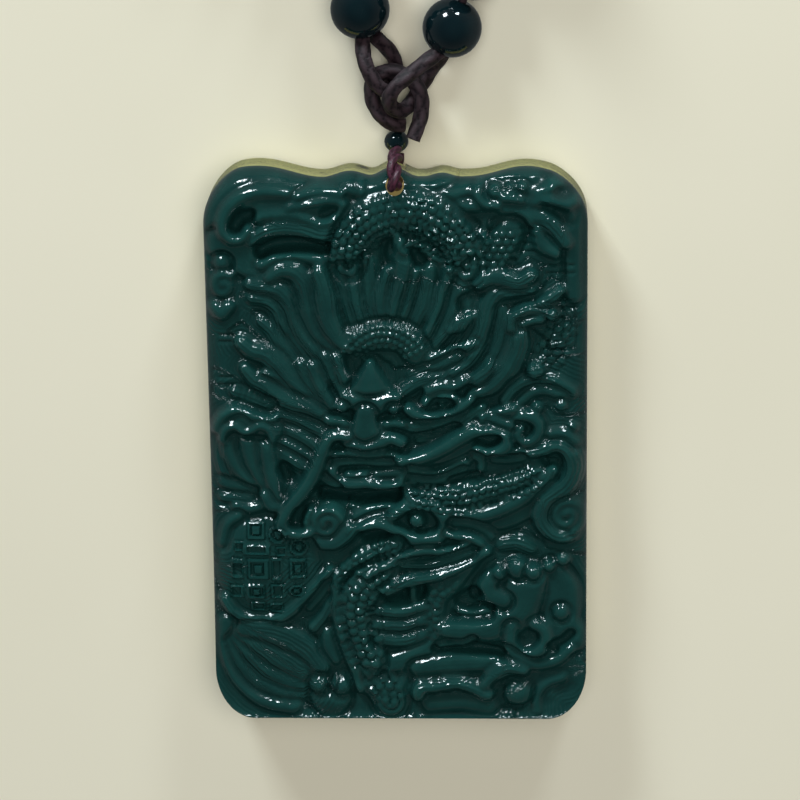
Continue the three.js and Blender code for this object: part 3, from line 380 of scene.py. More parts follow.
def sweep_cord(bm, points, radius, sides, step, relief=0.0):
    line, places = even_line(points, step)
    raised, angle = bm.verts.layers.float["raised"], bm.verts.layers.float["angle"]
    frames = frames_along(line)
    ring = bmesh.ops.create_circle(bm, segments=sides, radius=radius)["verts"]
    for vert in ring:
        vert[angle] = math.atan2(vert.co.y, vert.co.x)
    edges = list({edge for vert in ring for edge in vert.link_edges})
    bmesh.ops.transform(bm, matrix=frames[0], verts=ring)
    rings = [ring]
    for before, after in zip(frames, frames[1:]):
        made = bmesh.ops.extrude_edge_only(bm, edges=edges)["geom"]
        ring = [part for part in made if isinstance(part, bmesh.types.BMVert)]
        edges = [part for part in made if isinstance(part, bmesh.types.BMEdge)]
        bmesh.ops.transform(bm, matrix=after @ before.inverted(), verts=ring)
        rings.append(ring)
    for ring, place, middle in zip(rings, places, line):
        for vert in ring:
            vert[raised] = braid(vert[angle], place, radius)
            vert.co = Vector(middle) + (vert.co - Vector(middle)) * (1 + relief * (vert[raised] - 0.7))
    for ring in (rings[0], rings[-1]):
        bmesh.ops.contextual_create(bm, geom=ring)
    bmesh.ops.recalc_face_normals(bm, faces=bm.faces)


def cord_mesh():
    bm = bmesh.new()
    bm.verts.layers.float.new("raised")
    bm.verts.layers.float.new("angle")
    return bm


# %% [markdown]
# ## Cords
#
# The thin loop is two strands twisted together. It runs under the plaque in a groove, up through
# the drilled hole and over the top edge to the small bead. Above that bead a braided cord makes
# an eye, and the two doubled cords of the necklace hook into it. Their lines follow the
# photograph, and where two cords cross, one line passes in front of the other by their width.

# %% The lines of the cords, in millimetres
HANGING_LOOP = [
    (HOLE_X, 29.2, 0.85), (HOLE_X, 28.2, 0.85), (HOLE_X, 27.4, 1.1), (HOLE_X, HOLE_Y, 2.0),
    (HOLE_X, HOLE_Y, 4.2), (HOLE_X, HOLE_Y, 6.4), (HOLE_X, 27.5, 7.3), (HOLE_X, 28.3, 7.4),
    (HOLE_X, 29.1, 6.8), (HOLE_X, 29.6, 5.7), (HOLE_X, 29.75, 4.4), (HOLE_X, 29.85, 2.9),
]
EYE_LOOP = [
    (0.9, 32.3, 1.8), (0.0, 32.5, 2.1), (-1.3, 33.4, 2.4), (-2.1, 34.9, 2.45), (-2.2, 36.4, 2.45),
    (-1.6, 37.5, 2.45), (-0.4, 37.9, 2.45), (1.0, 37.5, 2.45), (2.2, 36.4, 2.45), (2.7, 35.0, 2.5),
    (2.6, 33.5, 2.8), (2.2, 32.3, 3.4), (1.8, 31.3, 3.7),
]
CORD_LEFT = [
    (-3.0, 41.6, 3.0), (-2.9, 40.0, 3.9), (-2.5, 38.5, 4.3), (-1.7, 37.0, 4.2), (-0.8, 36.1, 3.6),
    (-0.5, 35.9, 2.5), (-0.7, 36.2, 1.4), (-0.1, 37.2, 0.8), (0.1, 38.4, 0.8), (-0.6, 39.8, 1.3),
    (-1.8, 41.3, 2.5),
]
CORD_RIGHT = [
    (4.6, 40.0, 3.5), (2.9, 39.0, 4.6), (1.4, 37.9, 5.2), (0.2, 36.8, 5.3), (-0.4, 35.6, 4.9),
    (-0.1, 34.5, 3.9), (0.7, 34.0, 2.8), (1.6, 34.5, 1.5), (2.4, 35.8, 0.8), (3.3, 37.2, 0.8),
    (4.4, 38.9, 1.7), (5.0, 39.8, 2.4),
]

# %% Braided cords
BRAID_RADIUS, BRAID_RELIEF = 0.75, 0.22
for name, node, points in [
    ("eye_cord", "eye_loop", EYE_LOOP),
    ("left_cord", "cord_left", CORD_LEFT),
    ("right_cord", "cord_right", CORD_RIGHT),
]:
    bm = cord_mesh()
    sweep_cord(bm, points, radius=BRAID_RADIUS, sides=24, step=0.07, relief=BRAID_RELIEF)
    finish_piece(name, bm, BRAIDED, [node])

# %% The twisted loop
TWIST, TWINE_RADIUS = 1.3, 0.38
bm = cord_mesh()
core, core_places = even_line(HANGING_LOOP, 0.12)
core_frames = frames_along(core)
for start in (0, math.pi):
    strand_line = []
    for core_frame, place in zip(core_frames, core_places):
        angle_now = start + place * TWIST
        beside = Vector((TWINE_RADIUS * math.cos(angle_now), TWINE_RADIUS * math.sin(angle_now), 0))
        strand_line.append(core_frame @ beside)
    sweep_cord(bm, strand_line[::3], radius=TWINE_RADIUS, sides=14, step=0.09, relief=0.14)
finish_piece("twisted_loop", bm, THIN_YARN, ["hanging_loop"])

# %% [markdown]
# ## The string of beads
#
# The photograph shows the first two beads of each side. The rest of the necklace, 18 inches
# round as most such strings are, lies wound in a flat coil beyond the view. Its line starts at
# one cord, winds inwards, passes over its own turns and comes back to the other cord. The beads
# are 0.2 mm apart, and each is a ball with dimples where the thread goes in.

# %% The line of the necklace
BEAD = 5.8
COIL = Vector((2, 87))
ROW = 5.98
OUTER_TURN = 30.3
START_ANGLE, WOUND = -119, 981
LYING = 2.9
way_in = [
    (-2.9, 41.0, LYING), (-3.2, 44.1, LYING), (-4.11, 50.13, LYING), (-6.3, 54.0, LYING),
    (-9.6, 57.7, LYING),
]
turns = []
for step in range(0, WOUND + 1, 12):
    angle_now, away = math.radians(START_ANGLE - step), OUTER_TURN - ROW * step / 360
    turns.append((COIL.x + away * math.cos(angle_now), COIL.y + away * math.sin(angle_now), LYING))
way_out = [
    (13.0, 79.4, 3.0), (11.6, 76.9, 4.4), (10.7, 74.2, 7.3), (10.2, 70.4, 8.8), (10.0, 66.5, 8.9),
    (9.8, 62.8, 8.9), (9.7, 60.0, 7.9), (9.7, 57.6, 5.8), (9.6, 55.2, 3.7), (9.2, 52.6, 2.95),
    (8.7, 50.4, LYING), (7.9, 47.8, LYING), (5.7, 42.1, LYING), (4.8, 39.7, LYING),
]
necklace, necklace_places = even_line(way_in + turns + way_out, 1.0)
print("necklace length in mm:", round(necklace_places[-1]))


# %% Beads on it
def place_on(line, places, where):
    return Vector([np.interp(where, places, line[:, k]) for k in range(3)])


FIRST_BEAD, AFTER_LAST_BEAD, BEAD_SPACING = 3.1, 2.7, BEAD + 0.2
string_end = necklace_places[-1] - AFTER_LAST_BEAD
bead_count = round((string_end - FIRST_BEAD) / BEAD_SPACING) + 1
bm = bmesh.new()
bmesh.ops.create_uvsphere(bm, u_segments=32, v_segments=18, radius=BEAD / 2)
EDGE_OF_HOLE = 0.6
for vert in bm.verts:
    away = math.hypot(vert.co.x, vert.co.y)
    vert.co.z *= 0.86 + 0.14 * min(1, away / EDGE_OF_HOLE)
one_bead = bpy.data.meshes.new("one_bead")
bm.to_mesh(one_bead)
bm.clear()
centres = []
for number in range(bead_count):
    where = FIRST_BEAD + (string_end - FIRST_BEAD) * number / (bead_count - 1)
    middle = place_on(necklace, necklace_places, where)
    before, after = (place_on(necklace, necklace_places, where + step) for step in (-1, 1))
    ahead = after - before
    turned_to = ahead.to_track_quat("Z", "Y").to_matrix().to_4x4()
    bead = one_bead.copy()
    bead.transform(Matrix.Translation(middle) @ turned_to)
    bm.from_mesh(bead)
    bpy.data.meshes.remove(bead)
    centres.append(middle)
apart = (centres[1] - centres[0]).length
between_rows = min((a - b).length for i, a in enumerate(centres) for b in centres[i + 2:])
print(bead_count, "beads", round(apart, 2), "mm apart, rows at least", round(between_rows, 2))

# %% Their thread, and the string of beads as one piece
thread_line = [tuple(p) for p in necklace[::4]]
stands_for = ["bead_left_1", "bead_left_2", "bead_right_1", "bead_right_2", "necklace_coil"]
bead_string = finish_piece("bead_string", bm, BEAD_STONE, stands_for)
bm = cord_mesh()
sweep_cord(bm, thread_line, radius=0.45, sides=6, step=1.5)
thread = finish_piece("necklace_thread", bm, BRAIDED)

# %% The small bead at the top edge
SMALL_BEAD_RADIUS, SMALL_BEAD_FLATTER, SMALL_BEAD_PLACE = 1.2, 0.92, Vector((HOLE_X, 30.6, 1.35))
bm = bmesh.new()
bmesh.ops.create_uvsphere(bm, u_segments=32, v_segments=20, radius=SMALL_BEAD_RADIUS)
bmesh.ops.scale(bm, vec=(1, SMALL_BEAD_FLATTER, 1), verts=bm.verts)
bmesh.ops.translate(bm, vec=SMALL_BEAD_PLACE, verts=bm.verts)
finish_piece("small_bead", bm, BEAD_STONE, ["spacer_bead"])

# %% [markdown]
# ## The carved face
#
# The carving is low relief: every point of the face has one height. So the face is a fine grid
# whose points move up or down, form by form, in the order in which the forms lie on each other.
# A carver cuts a crease beside each form to set it off, and each form here does the same.
# Distances are millimetres from the middle of the plaque and heights are above its back.

# %% The plaque's outline
PLAQUE_WIDTH, PLAQUE_HEIGHT = 38, 57.6
CORNER_WIDTH, CORNER_HEIGHT = 4, 5.2
WALL_TOP, WALL_RISE, RIM_ROUNDING = 4.6, 2.2, 2.1
GROUND, DEEPEST = 6.3, 4.6
TOP_DIP = 1.15
TOP_HUMPS = [
    (-13.6, 6.6, 1.15), (-4.4, 2.8, 0.6), (-0.2, 2.6, 0.95), (4.7, 1.9, 0.35), (12.9, 5.6, 0.98),
]
COLUMNS, SIDE_ROWS, CORNER_ROWS = 232, 292, 30

half_width, half_height = PLAQUE_WIDTH / 2, PLAQUE_HEIGHT / 2


def top_dip(x):
    dip = np.full_like(x, TOP_DIP)
    for middle, reach, rise in TOP_HUMPS:
        dip -= rise * np.cos(np.minimum(1, abs(x - middle) / reach) * math.pi / 2) ** 2
    return np.maximum(0, dip)


def corner_drop(distance, start, size, drop):
    t = np.clip((abs(distance) - start) / size, 0, 1)
    return drop * (1 - np.sqrt(1 - t * t))


def inside_by(x, y):
    across = half_width - corner_drop(y, half_height - CORNER_HEIGHT, CORNER_HEIGHT, CORNER_WIDTH)
    top = half_height - corner_drop(x, half_width - CORNER_WIDTH, CORNER_WIDTH, CORNER_HEIGHT)
    dx = np.maximum(0, across - abs(x))
    dy = np.maximum(0, np.where(y > 0, top - top_dip(x) - y, top + y))
    return dx * dy / np.maximum(1e-6, np.hypot(dx, dy))


straight = half_height - CORNER_HEIGHT
corner_steps = straight + CORNER_HEIGHT * np.sin(np.linspace(0, math.pi / 2, CORNER_ROWS + 1)[1:])
side_steps = np.linspace(-straight, straight, SIDE_ROWS + 1)
row_heights = np.concatenate([-corner_steps[::-1], side_steps, corner_steps])
widths = half_width - corner_drop(row_heights, straight, CORNER_HEIGHT, CORNER_WIDTH)
face_x = widths[:, None] * np.linspace(-1, 1, COLUMNS + 1)[None, :]
face_y = row_heights[:, None] - top_dip(face_x) * np.maximum(0, row_heights[:, None] / half_height) ** 3
face_z = np.full_like(face_x, GROUND)
print("face grid:", face_x.shape)


# %% [markdown]
# Three cuts make nearly everything: a strand, which is a rounded band along a line, a hollow,
# and a knob. A lock of hair is a strand with grooves along it, and scales, studs and tiles are
# small patterns laid on a form. Each looks up how far the points near its line are from it. A
# strand also notes that distance for the hair lines, and how clearly they show there.


# %% Distances from a line
def near_line(points, reach):
    """The face's points within reach of a smooth line: which, how far, how far along, which side."""
    line = smooth_line([(x, y) for x, y in points], 8)
    low, high = line.min(0) - reach, line.max(0) + reach
    inside = (face_x > low[0]) & (face_x < high[0]) & (face_y > low[1]) & (face_y < high[1])
    which = np.nonzero(inside)
    px, py = face_x[which], face_y[which]
    lengths = np.linalg.norm(np.diff(line, axis=0), axis=1)
    before = np.concatenate([[0], np.cumsum(lengths)])
    far, along, side = np.full(px.shape, 99.0), np.zeros(px.shape), np.ones(px.shape)
    for i, (start, run) in enumerate(zip(line, np.diff(line, axis=0))):
        if lengths[i] < 1e-9:
            continue
        fx, fy = px - start[0], py - start[1]
        part = np.clip((fx * run[0] + fy * run[1]) / lengths[i] ** 2, 0, 1)
        distance = np.hypot(fx - part * run[0], fy - part * run[1])
        closer = distance < far
        far[closer] = distance[closer]
        along[closer] = before[i] + part[closer] * lengths[i]
        side[closer] = np.sign(run[0] * fy - run[1] * fx)[closer]
    return which, far, along, side, before[-1]


def varied(values, t):
    values = np.atleast_1d(np.array(values, float))
    return np.interp(t, np.linspace(0, 1, len(values)), values)


# %% The carver's cuts
CREASE, FULLER = 0.42, 1.25
GROOVE_DEPTH, HOLLOW_RAISED = 0.14, 0.6
flow = np.full_like(face_x, 99.0)
flow_side = np.zeros_like(face_x)
lined = np.zeros_like(face_x)


def strand(points, width, top, flat=0.0, lines=0, crease=CREASE):
    """A raised rounded band, flat in its middle by that share, with grooves where lines is given."""
    which, far, along, side, length = near_line(points, FULLER * max(np.atleast_1d(width)) + 1.6)
    t = along / length
    half, top_here, now = FULLER * varied(width, t), varied(top, t), face_z[which]
    crown = np.minimum(0.95, 0.22 + 0.42 * half)
    across = np.clip((far / half - flat) / (1 - flat), 0, 1)
    rounded = top_here - crown * across**2.2
    if lines:
        wave = 0.5 - 0.5 * np.cos(2 * math.pi * lines * (0.5 + 0.5 * side * far / half))
        rounded -= GROOVE_DEPTH * (1 - wave) * np.clip(4 - 4.4 * far / half, 0, 1)
    foot = np.maximum(DEEPEST, top_here - crown - 0.2)
    gap = np.clip((far - half) / crease, 0, 1)
    beside = np.where(now > foot, foot + (now - foot) * gap * gap * (3 - 2 * gap), now)
    face_z[which] = np.where(far < half, rounded, np.where(far < half + crease, beside, now))
    outside = np.maximum(0, far - half)
    nearer = outside < flow[which]
    flow[which] = np.where(nearer, outside, flow[which])
    flow_side[which] = np.where(nearer, side * far, flow_side[which])
    inside_lined, outside_lined = (1.0, 0.9) if lines else (0.12, 0.55)
    from_edge = np.clip(abs(far - half) / 0.22, 0, 1)
    lined_here = from_edge * np.where(far < half, inside_lined, outside_lined)
    lined[which] = np.where(nearer, lined_here, lined[which])


def hollow(points, width, floor):
    """A trough cut along a line, deepest in its middle."""
    which, far, along, _, length = near_line(points, max(np.atleast_1d(width)))
    across = np.clip(far / varied(width, along / length), 0, 1)
    now, floor = face_z[which], max(DEEPEST, floor + HOLLOW_RAISED)
    face_z[which] = np.minimum(now, floor + (now - floor) * across**3)


def knob(x, y, radius, top):
    """A dome with a crease round it."""
    away = np.hypot(face_x - x, face_y - y)
    here = away < radius + 0.3
    rounded = top - min(1.2, radius) * (1 - np.sqrt(np.clip(1 - (away / radius) ** 2, 0, 1)))
    foot = top - min(1.2, radius) - 0.35
    gap = np.clip((away - radius) / 0.3, 0, 1)
    beside = np.where(face_z > foot, foot + (face_z - foot) * gap, face_z)
    face_z[here] = np.where(away < radius, np.maximum(rounded, foot), beside)[here]


def curl(x, y, radius, turns, start, width, top):
    """A strand that winds in to its middle."""
    steps = math.ceil(turns * 10)
    angles = [start + i / steps * turns * 2 * math.pi for i in range(steps + 1)]
    away = [radius * (1 - 0.85 * i / steps) for i in range(steps + 1)]
    line = [(x + r * math.cos(a), y + r * math.sin(a)) for r, a in zip(away, angles)]
    strand(line, width, top, crease=0.3)


# %% Small patterns on a form
def scales(points, half, size, rise, rows):
    """Overlapping round scales in rows along a band."""
    which, far, along, side, _ = near_line(points, half)
    band = (side * far / half + 1) / 2 * rows
    row = np.floor(band)
    cell = along / size + 0.5 * (row % 2)
    chance = np.sin(12.99 * np.floor(cell) + 78.23 * row) * 437.58 % 1
    u, v = (cell % 1) - 0.5 + 0.14 * (chance - 0.5), (band % 1) - 0.5 + 0.2 * (chance - 0.5)
    dome = np.sqrt(np.clip(1 - (u / 0.52) ** 2 - (v / 0.52) ** 2, 0, 1))
    face_z[which] += np.where(far < half, rise * (0.55 + 0.6 * chance) * dome - 0.4 * rise, 0)


def line_cut(points, width, depth):
    """A single cut with sloping sides."""
    which, far, _, _, _ = near_line(points, width)
    face_z[which] -= depth * np.clip(1 - far / width, 0, 1)


def studs(centres, radius, rise):
    """Small domes raised on what is there."""
    for x, y in centres:
        away = np.hypot(face_x - x, face_y - y)
        here = away < radius
        face_z[here] += rise * np.sqrt(1 - (away[here] / radius) ** 2)


TILE_RAISED, TILE_SUNK = 0.2, 0.16


def tile(x, y, width, height, kind):
    """A small raised outline on the shield, square or round, with or without a core."""
    u, v = face_x - x, face_y - y
    edge = np.maximum(abs(u) / (width / 2), abs(v) / (height / 2))
    if kind == "round":
        edge = np.hypot(u / (width / 2), v / (height / 2))
    inner = 0.42 if kind in ("ring", "round") else 0.0
    raised = (edge < 1) & ((edge > 0.66) | (edge < inner))
    face_z[(edge < 1.15) & (edge >= 1)] -= 0.1
    face_z[(edge < 1) & ~raised] -= TILE_SUNK
    face_z[raised] += TILE_RAISED


def arc(x, y, radius, first, last, count):
    angles = np.radians(np.linspace(first, last, count))
    return [(x + radius * math.cos(a), y + radius * math.sin(a)) for a in angles]


# %% [markdown]
# The forms follow the photograph from the top down: clouds at the two upper corners, the crown
# of scales, the mane with the head in its middle, the whiskers, the two paws, the tiled shield,
# the body between them and the waves along the bottom.

# %% Clouds at the top
def clouds_at_top_left():
    strand([(-3, 27.9), (-1.6, 27.6), (-1.8, 25.8)], [1.2, 1.4, 1], 6.8, 0.4)
    strand([(-18, 20.4), (-18, 23.6), (-16.9, 26.2), (-14.6, 27.6), (-11.6, 27.7), (-8.8, 27)],
           [0.9, 1.2, 1.1, 0.8], 7, 0.2)
    strand([(-7.6, 27.4), (-5.2, 27.5), (-3.8, 27)], [0.7, 1, 0.7], 6.9, 0.2)
    strand([(-17.2, 21.4), (-15.6, 20.4), (-14.4, 19.4), (-13, 18.9)], [1.4, 1.5, 1], 6.8, 0.6)
    strand([(-14.2, 25.4), (-12, 25.4), (-9.6, 25.4), (-7.4, 25.7), (-5.6, 25.4)],
           [0.8, 1.2, 1.2, 0.8], 7.1, 0.3)
    strand([(-14.2, 21.8), (-12.9, 22.8), (-11.2, 23.3), (-9.3, 23.2), (-7.5, 22.6), (-6, 22.6),
            (-4.8, 23.2), (-3.9, 24.4)], [0.4, 0.85, 0.85, 0.5], 7.5, lines=2)
    strand([(-13.5, 24.1), (-11.6, 24.6), (-9.6, 24.5), (-7.9, 23.9), (-6.8, 23.7), (-5.6, 24.2),
            (-5, 25)], [0.3, 0.36, 0.3], 7.6)
    strand([(-9.6, 26.6), (-11.4, 26.9), (-13.2, 26.9), (-14.9, 26.4), (-16.2, 25.4), (-16.9, 24),
            (-16.8, 22.8), (-15.9, 22), (-14.9, 22.2), (-14.4, 23)],
           [0.4, 0.6, 0.65, 0.65, 0.5, 0.35], 7.6)
    hollow([(-15.7, 23.3), (-15, 24.1), (-14.2, 24.5)], 0.7, 5)
    strand([(-10.4, 25.3), (-8.8, 25.6), (-7.2, 26), (-5.8, 26.1), (-4.8, 25.6)], [0.3, 0.42, 0.3],
           7.6)
    strand([(-9.4, 26.4), (-8, 26.9), (-6.6, 27), (-5.2, 26.7)], [0.4, 0.5, 0.4], 7.5)
    hollow([(-6.9, 24.7), (-5.9, 24.9)], 0.5, 5.8)
    strand([(-3.2, 27.6), (-3.1, 26.3), (-3.4, 24.8)], 0.35, 7.1)
    strand([(-13.2, 19.3), (-11.8, 20.1), (-10.4, 20.5), (-8.9, 20.3), (-7.4, 19.7)],
           [0.5, 0.8, 0.6], 7)
    hollow([(-13.2, 20.6), (-11.9, 21.2), (-10, 21.4), (-8.2, 21.3), (-6.8, 21.1)],
           [0.7, 0.95, 0.9, 0.7], 4.3)
    knob(-17.1, 19.5, 1.1, 6.9)
    curl(-17, 17.2, 1.3, 1.2, 1, 0.4, 6.9)
    strand([(-18, 15), (-17.3, 14.4), (-16.6, 15.1)], 0.6, 7.3)


# %% The mane at the left, lock by lock
def mane_at_left():
    strand([(-12.2, 5), (-10.6, 4.6), (-9, 4), (-7.4, 3.2), (-6.4, 2.6)], 0.6, 6.9, lines=2)
    strand([(-12.1, 3.7), (-10.4, 3.3), (-8.8, 2.6), (-7.6, 2)], 0.65, 7, lines=2)
    strand([(-12.1, 2.4), (-10.4, 1.9), (-9.2, 1.2), (-8.2, 0.4)], 0.65, 7, lines=2)
    strand([(-12.1, 1.1), (-11, 0.5), (-9.8, -0.2), (-8.9, -0.9)], 0.65, 7, lines=2)
    strand([(-12, -0.1), (-10.8, -0.8), (-9.6, -1.5)], 0.55, 6.9, lines=2)
    strand([(-14.2, 16), (-12.7, 15.8), (-11.5, 14.8), (-10.9, 13), (-10.2, 11.4), (-9.2, 10),
            (-8.2, 8.8), (-7.4, 7)], [0.5, 0.9, 0.9, 0.6], 7.1, lines=4)
    strand([(-13.4, 13.6), (-12.4, 12.6), (-11.6, 11.2), (-10.6, 9.6), (-9.6, 8), (-8.4, 6.4)],
           [0.4, 0.8, 0.8, 0.5], 7, lines=3)
    strand([(-15.4, 11.4), (-14.4, 10.6), (-13, 10.2), (-11.9, 9.2), (-10.9, 7.9), (-9.8, 6.6),
            (-8.6, 5.5), (-7.2, 4.6)], [0.6, 1, 0.9, 0.5], 7.4, lines=3)
    strand([(-13.4, 8.2), (-12.4, 7.8), (-11.8, 6.8), (-10.6, 6), (-9.2, 5.2)], [0.4, 0.6, 0.4],
           7.6)
    strand([(-15.1, 8.8), (-14.2, 7.6), (-13, 6.9), (-11.8, 5.9), (-10.4, 5.2), (-8.8, 4.7),
            (-7.2, 3.9)], [0.5, 0.8, 0.8, 0.4], 7.4, lines=3)
    strand([(-14.4, 17.4), (-13.2, 17.2), (-11.8, 17), (-10.6, 16), (-10, 14.4), (-9.2, 12.6),
            (-8.2, 11), (-7.2, 9.4), (-6.6, 7.8)], [0.5, 0.9, 0.9, 0.8, 0.4], 7.3, lines=4)
    strand([(-12.4, 18.1), (-11.2, 18.8), (-9.8, 18.6), (-9, 17.4), (-8.6, 15.6), (-8.3, 14.2),
            (-7.5, 12.6), (-6.4, 11.2), (-5.6, 9.8)], [0.5, 0.9, 1, 0.9, 0.5], 7.4, lines=3)
    strand([(-7.5, 18.7), (-7.2, 17.4), (-6.9, 15.6), (-6.6, 13.8), (-5.9, 12.2), (-4.9, 11)],
           [0.6, 1, 1, 0.5], 7.7, lines=2)
    strand([(-9.4, 9.2), (-8.9, 8), (-8, 6.6), (-7, 5.2)], 0.5, 7.4, lines=2)
    strand([(-8.3, 9), (-7.9, 7.6), (-7.2, 6.2), (-6.4, 5)], 0.5, 7.5, lines=2)
    strand([(-7, 10), (-6.2, 8.6), (-5.6, 7.2), (-5.2, 6)], [0.5, 0.7, 0.5], 7.5, lines=2)
    strand([(-5.8, 10), (-5.5, 8.6), (-5.2, 7.8)], 0.5, 7.7)


# %% The crown of scales and its flames
def crown():
    strand([(1.6, 20.6), (3.4, 21.4), (4.4, 20.2)], [2.2, 2.4, 2], 6.7, 0.5)
    strand([(-4.6, 19.4), (-4.2, 21.8), (-2.4, 23.8), (0.4, 24.7), (3.2, 24.4), (5.4, 22.8),
            (6.7, 20.8), (7.1, 19)], [1.5, 1.9, 1.9, 1.5], 7.5, 0.1)
    hollow([(1.9, 20.2), (2.7, 19.3)], 1, 4.9)
    strand([(-5.2, 18.8), (-4.8, 16.6), (-4.5, 14.8), (-4, 13)], [0.7, 0.7, 0.5], 6.9, lines=2)
    strand([(-3.9, 18.9), (-3.9, 17), (-3.6, 15), (-3, 13)], [0.7, 0.7, 0.5], 7.2, lines=2)
    strand([(-2.6, 19.8), (-2.5, 18), (-2.3, 15.6), (-2, 13.2)], [0.7, 0.7, 0.5], 7, lines=2)
    strand([(-0.6, 18.8), (-1.1, 17.4), (-1.4, 15.6), (-1.2, 13.4)], [0.4, 0.7, 0.5], 7.3, lines=2)
    strand([(0.2, 22.4), (0.8, 20), (0.7, 17.6), (0.1, 15.4), (-0.3, 13.4)], [0.4, 0.8, 0.8, 0.4],
           7.5, lines=2)
    strand([(2.3, 18.6), (2, 17), (1.5, 15.2), (0.7, 13.4)], [0.4, 0.7, 0.5], 7.2, lines=2)
    strand([(3.5, 18.8), (3.2, 17), (2.7, 15), (1.7, 13)], [0.6, 0.8, 0.5], 7, lines=2)
    strand([(5.5, 18.7), (5.2, 17), (4.8, 15.2), (4, 13.2), (2.8, 11.4)], [0.6, 0.9, 0.9, 0.5],
           7.6, lines=2)
    strand([(7.7, 19.6), (7, 18.2), (6.3, 16.4), (5.8, 14.6), (4.8, 12.4), (3.4, 10.6)],
           [0.5, 0.8, 0.8, 0.4], 7.3, lines=3)
    strand([(-4.9, 11.4), (-3.2, 11.9), (-1, 12.2), (0.9, 11.8), (2, 10.4)], [1, 1.4, 1.2],
           7.4, 0.2)


# %% The mane at the right
def mane_at_right():
    strand([(7.2, 15.4), (7.4, 13.6), (6.8, 12), (5.4, 10.4)], 0.7, 6.9, lines=3)
    strand([(13.5, 16.9), (11.8, 16.8), (10.2, 16.6), (9.4, 15.4), (9, 13.6), (8.4, 11.9),
            (7.2, 10.1), (5.6, 8.6), (4, 7.6)], [0.4, 0.8, 1.1, 1.2, 0.9, 0.5], 7.4, lines=4)
    strand([(10.6, 14.8), (10.6, 12.8), (10.2, 10.8), (9.2, 9), (7.6, 7.6)], [0.5, 0.9, 0.8, 0.5],
           7.1, lines=3)
    strand([(12, 13.4), (12.2, 11.8), (11.7, 9.8), (10.6, 8.1), (9.2, 6.8), (7.4, 6.1)],
           [0.6, 1, 1.1, 0.8, 0.4], 7.6, lines=3)
    strand([(11.5, 13), (11.7, 14), (12.6, 14.5), (13.6, 14.8), (15.4, 14.3)], [0.5, 0.7, 0.6],
           7.6, lines=2)
    strand([(12.6, 13.4), (13.4, 13.7), (14.4, 13.8)], 0.4, 7.4)
    strand([(14.3, 15.5), (15.3, 15.9), (16.3, 16.7)], [0.4, 0.6, 0.4], 7.4, lines=2)
    strand([(8.3, 17.5), (9.4, 18.1), (10.8, 18), (12.1, 17.6), (13.4, 18.3)], [0.6, 0.8, 0.6],
           7.6, lines=2)
    strand([(5.4, 12.8), (6.3, 13.3), (7.4, 14.2)], [0.4, 0.7, 0.4], 7.7, lines=2)
    strand([(6.8, 7.7), (8, 7.7), (8.9, 8.4), (9.3, 9.2)], [0.4, 0.6, 0.4], 7.7, lines=2)
    strand([(3.6, 9.6), (4.9, 10.1), (6.4, 10.8), (7.8, 11.4)], [0.6, 0.5, 0.4], 7.5)
    strand([(1.6, 8), (3.2, 8.6), (4.8, 9.3), (6.2, 10)], 0.5, 7.1, lines=2)
    strand([(0.8, 6.4), (2.2, 7.4), (3.8, 7.7), (4.6, 7.9)], [0.5, 0.7, 0.4], 7.3, lines=2)
    strand([(10.8, 5.4), (12, 6.9), (13.8, 7.5), (15.6, 7.3), (17.4, 6.2)], [0.5, 0.7, 0.6],
           7.1, lines=2)
    strand([(12.4, 5.2), (13.6, 6.2), (15.2, 6.3), (16.6, 5.6)], 0.5, 6.8)
    knob(13.8, 8.5, 1, 7.5)
    knob(14, 4.6, 0.7, 7.2)
    knob(16.4, 4.8, 0.7, 6.9)
    knob(17.6, 2.5, 0.7, 7.1)


# %% Clouds at the top right
def clouds_at_top_right():
    strand([(1.4, 26.6), (3.2, 27.2), (5.2, 27.8)], 0.6, 6.9)
    strand([(4.4, 26), (6, 26.5), (7.8, 27.2)], 0.6, 6.9)
    strand([(5.6, 25.1), (7.2, 25.2), (8.6, 24.9)], [0.4, 0.6, 0.5], 7.1)
    strand([(17.6, 24), (17.6, 20), (17.7, 16)], 0.8, 6.4, 0.4)
    strand([(8.8, 27.8), (10.2, 28.2), (12, 28.3), (13.8, 27.9)], 0.6, 6.9)
    strand([(14, 24.8), (15.6, 24.9), (17.2, 24.2)], 0.6, 6.6)
    strand([(8.5, 27.9), (8.3, 26.7), (9.2, 25.7), (10.8, 25.3), (12.2, 24.4)],
           [0.4, 0.7, 0.9, 0.9], 7.3)
    strand([(12.2, 24.4), (13.4, 25.9), (14.8, 27), (16.2, 27.5)], [0.9, 0.7, 0.5], 7.5)
    strand([(12.8, 24.3), (14.2, 25.5), (15.4, 25.8), (16.8, 25.4), (18, 25.9)], [0.8, 0.6, 0.5],
           7.4)
    hollow([(9.6, 26.7), (11, 26.9), (12.6, 26.9)], 1.2, 5.6)
    hollow([(13.6, 27.3), (14.8, 27.8)], 0.6, 5.8)
    hollow([(14.6, 25), (16.6, 24.4)], 0.7, 5.4)
    knob(9.9, 26.8, 0.8, 7.2)
    knob(11.5, 26.9, 0.7, 7.2)
    knob(12.6, 27.2, 0.6, 7.2)
    strand([(10.8, 26.2), (12.4, 25.9)], 0.4, 7.5)
    hollow([(16.2, 26.7), (17.3, 26.5)], 0.6, 5.6)
    hollow([(7.8, 24.1), (9.8, 24.3)], 0.8, 5.5)
    strand([(11.4, 24.4), (13.2, 24.1), (14.7, 23.8), (15.8, 22.9), (16.8, 21.6)], [0.8, 0.9, 0.6],
           7.3, lines=2)
    strand([(14, 22.9), (14.5, 21.5), (15.8, 20.5)], [0.4, 0.8, 0.5], 7.3)
    strand([(9.4, 19.2), (10.4, 20.8), (11.4, 22.6)], 1.3, 6.7, 0.4)
    curl(8.2, 21.9, 1.2, 1, 2.4, 0.4, 7.3)


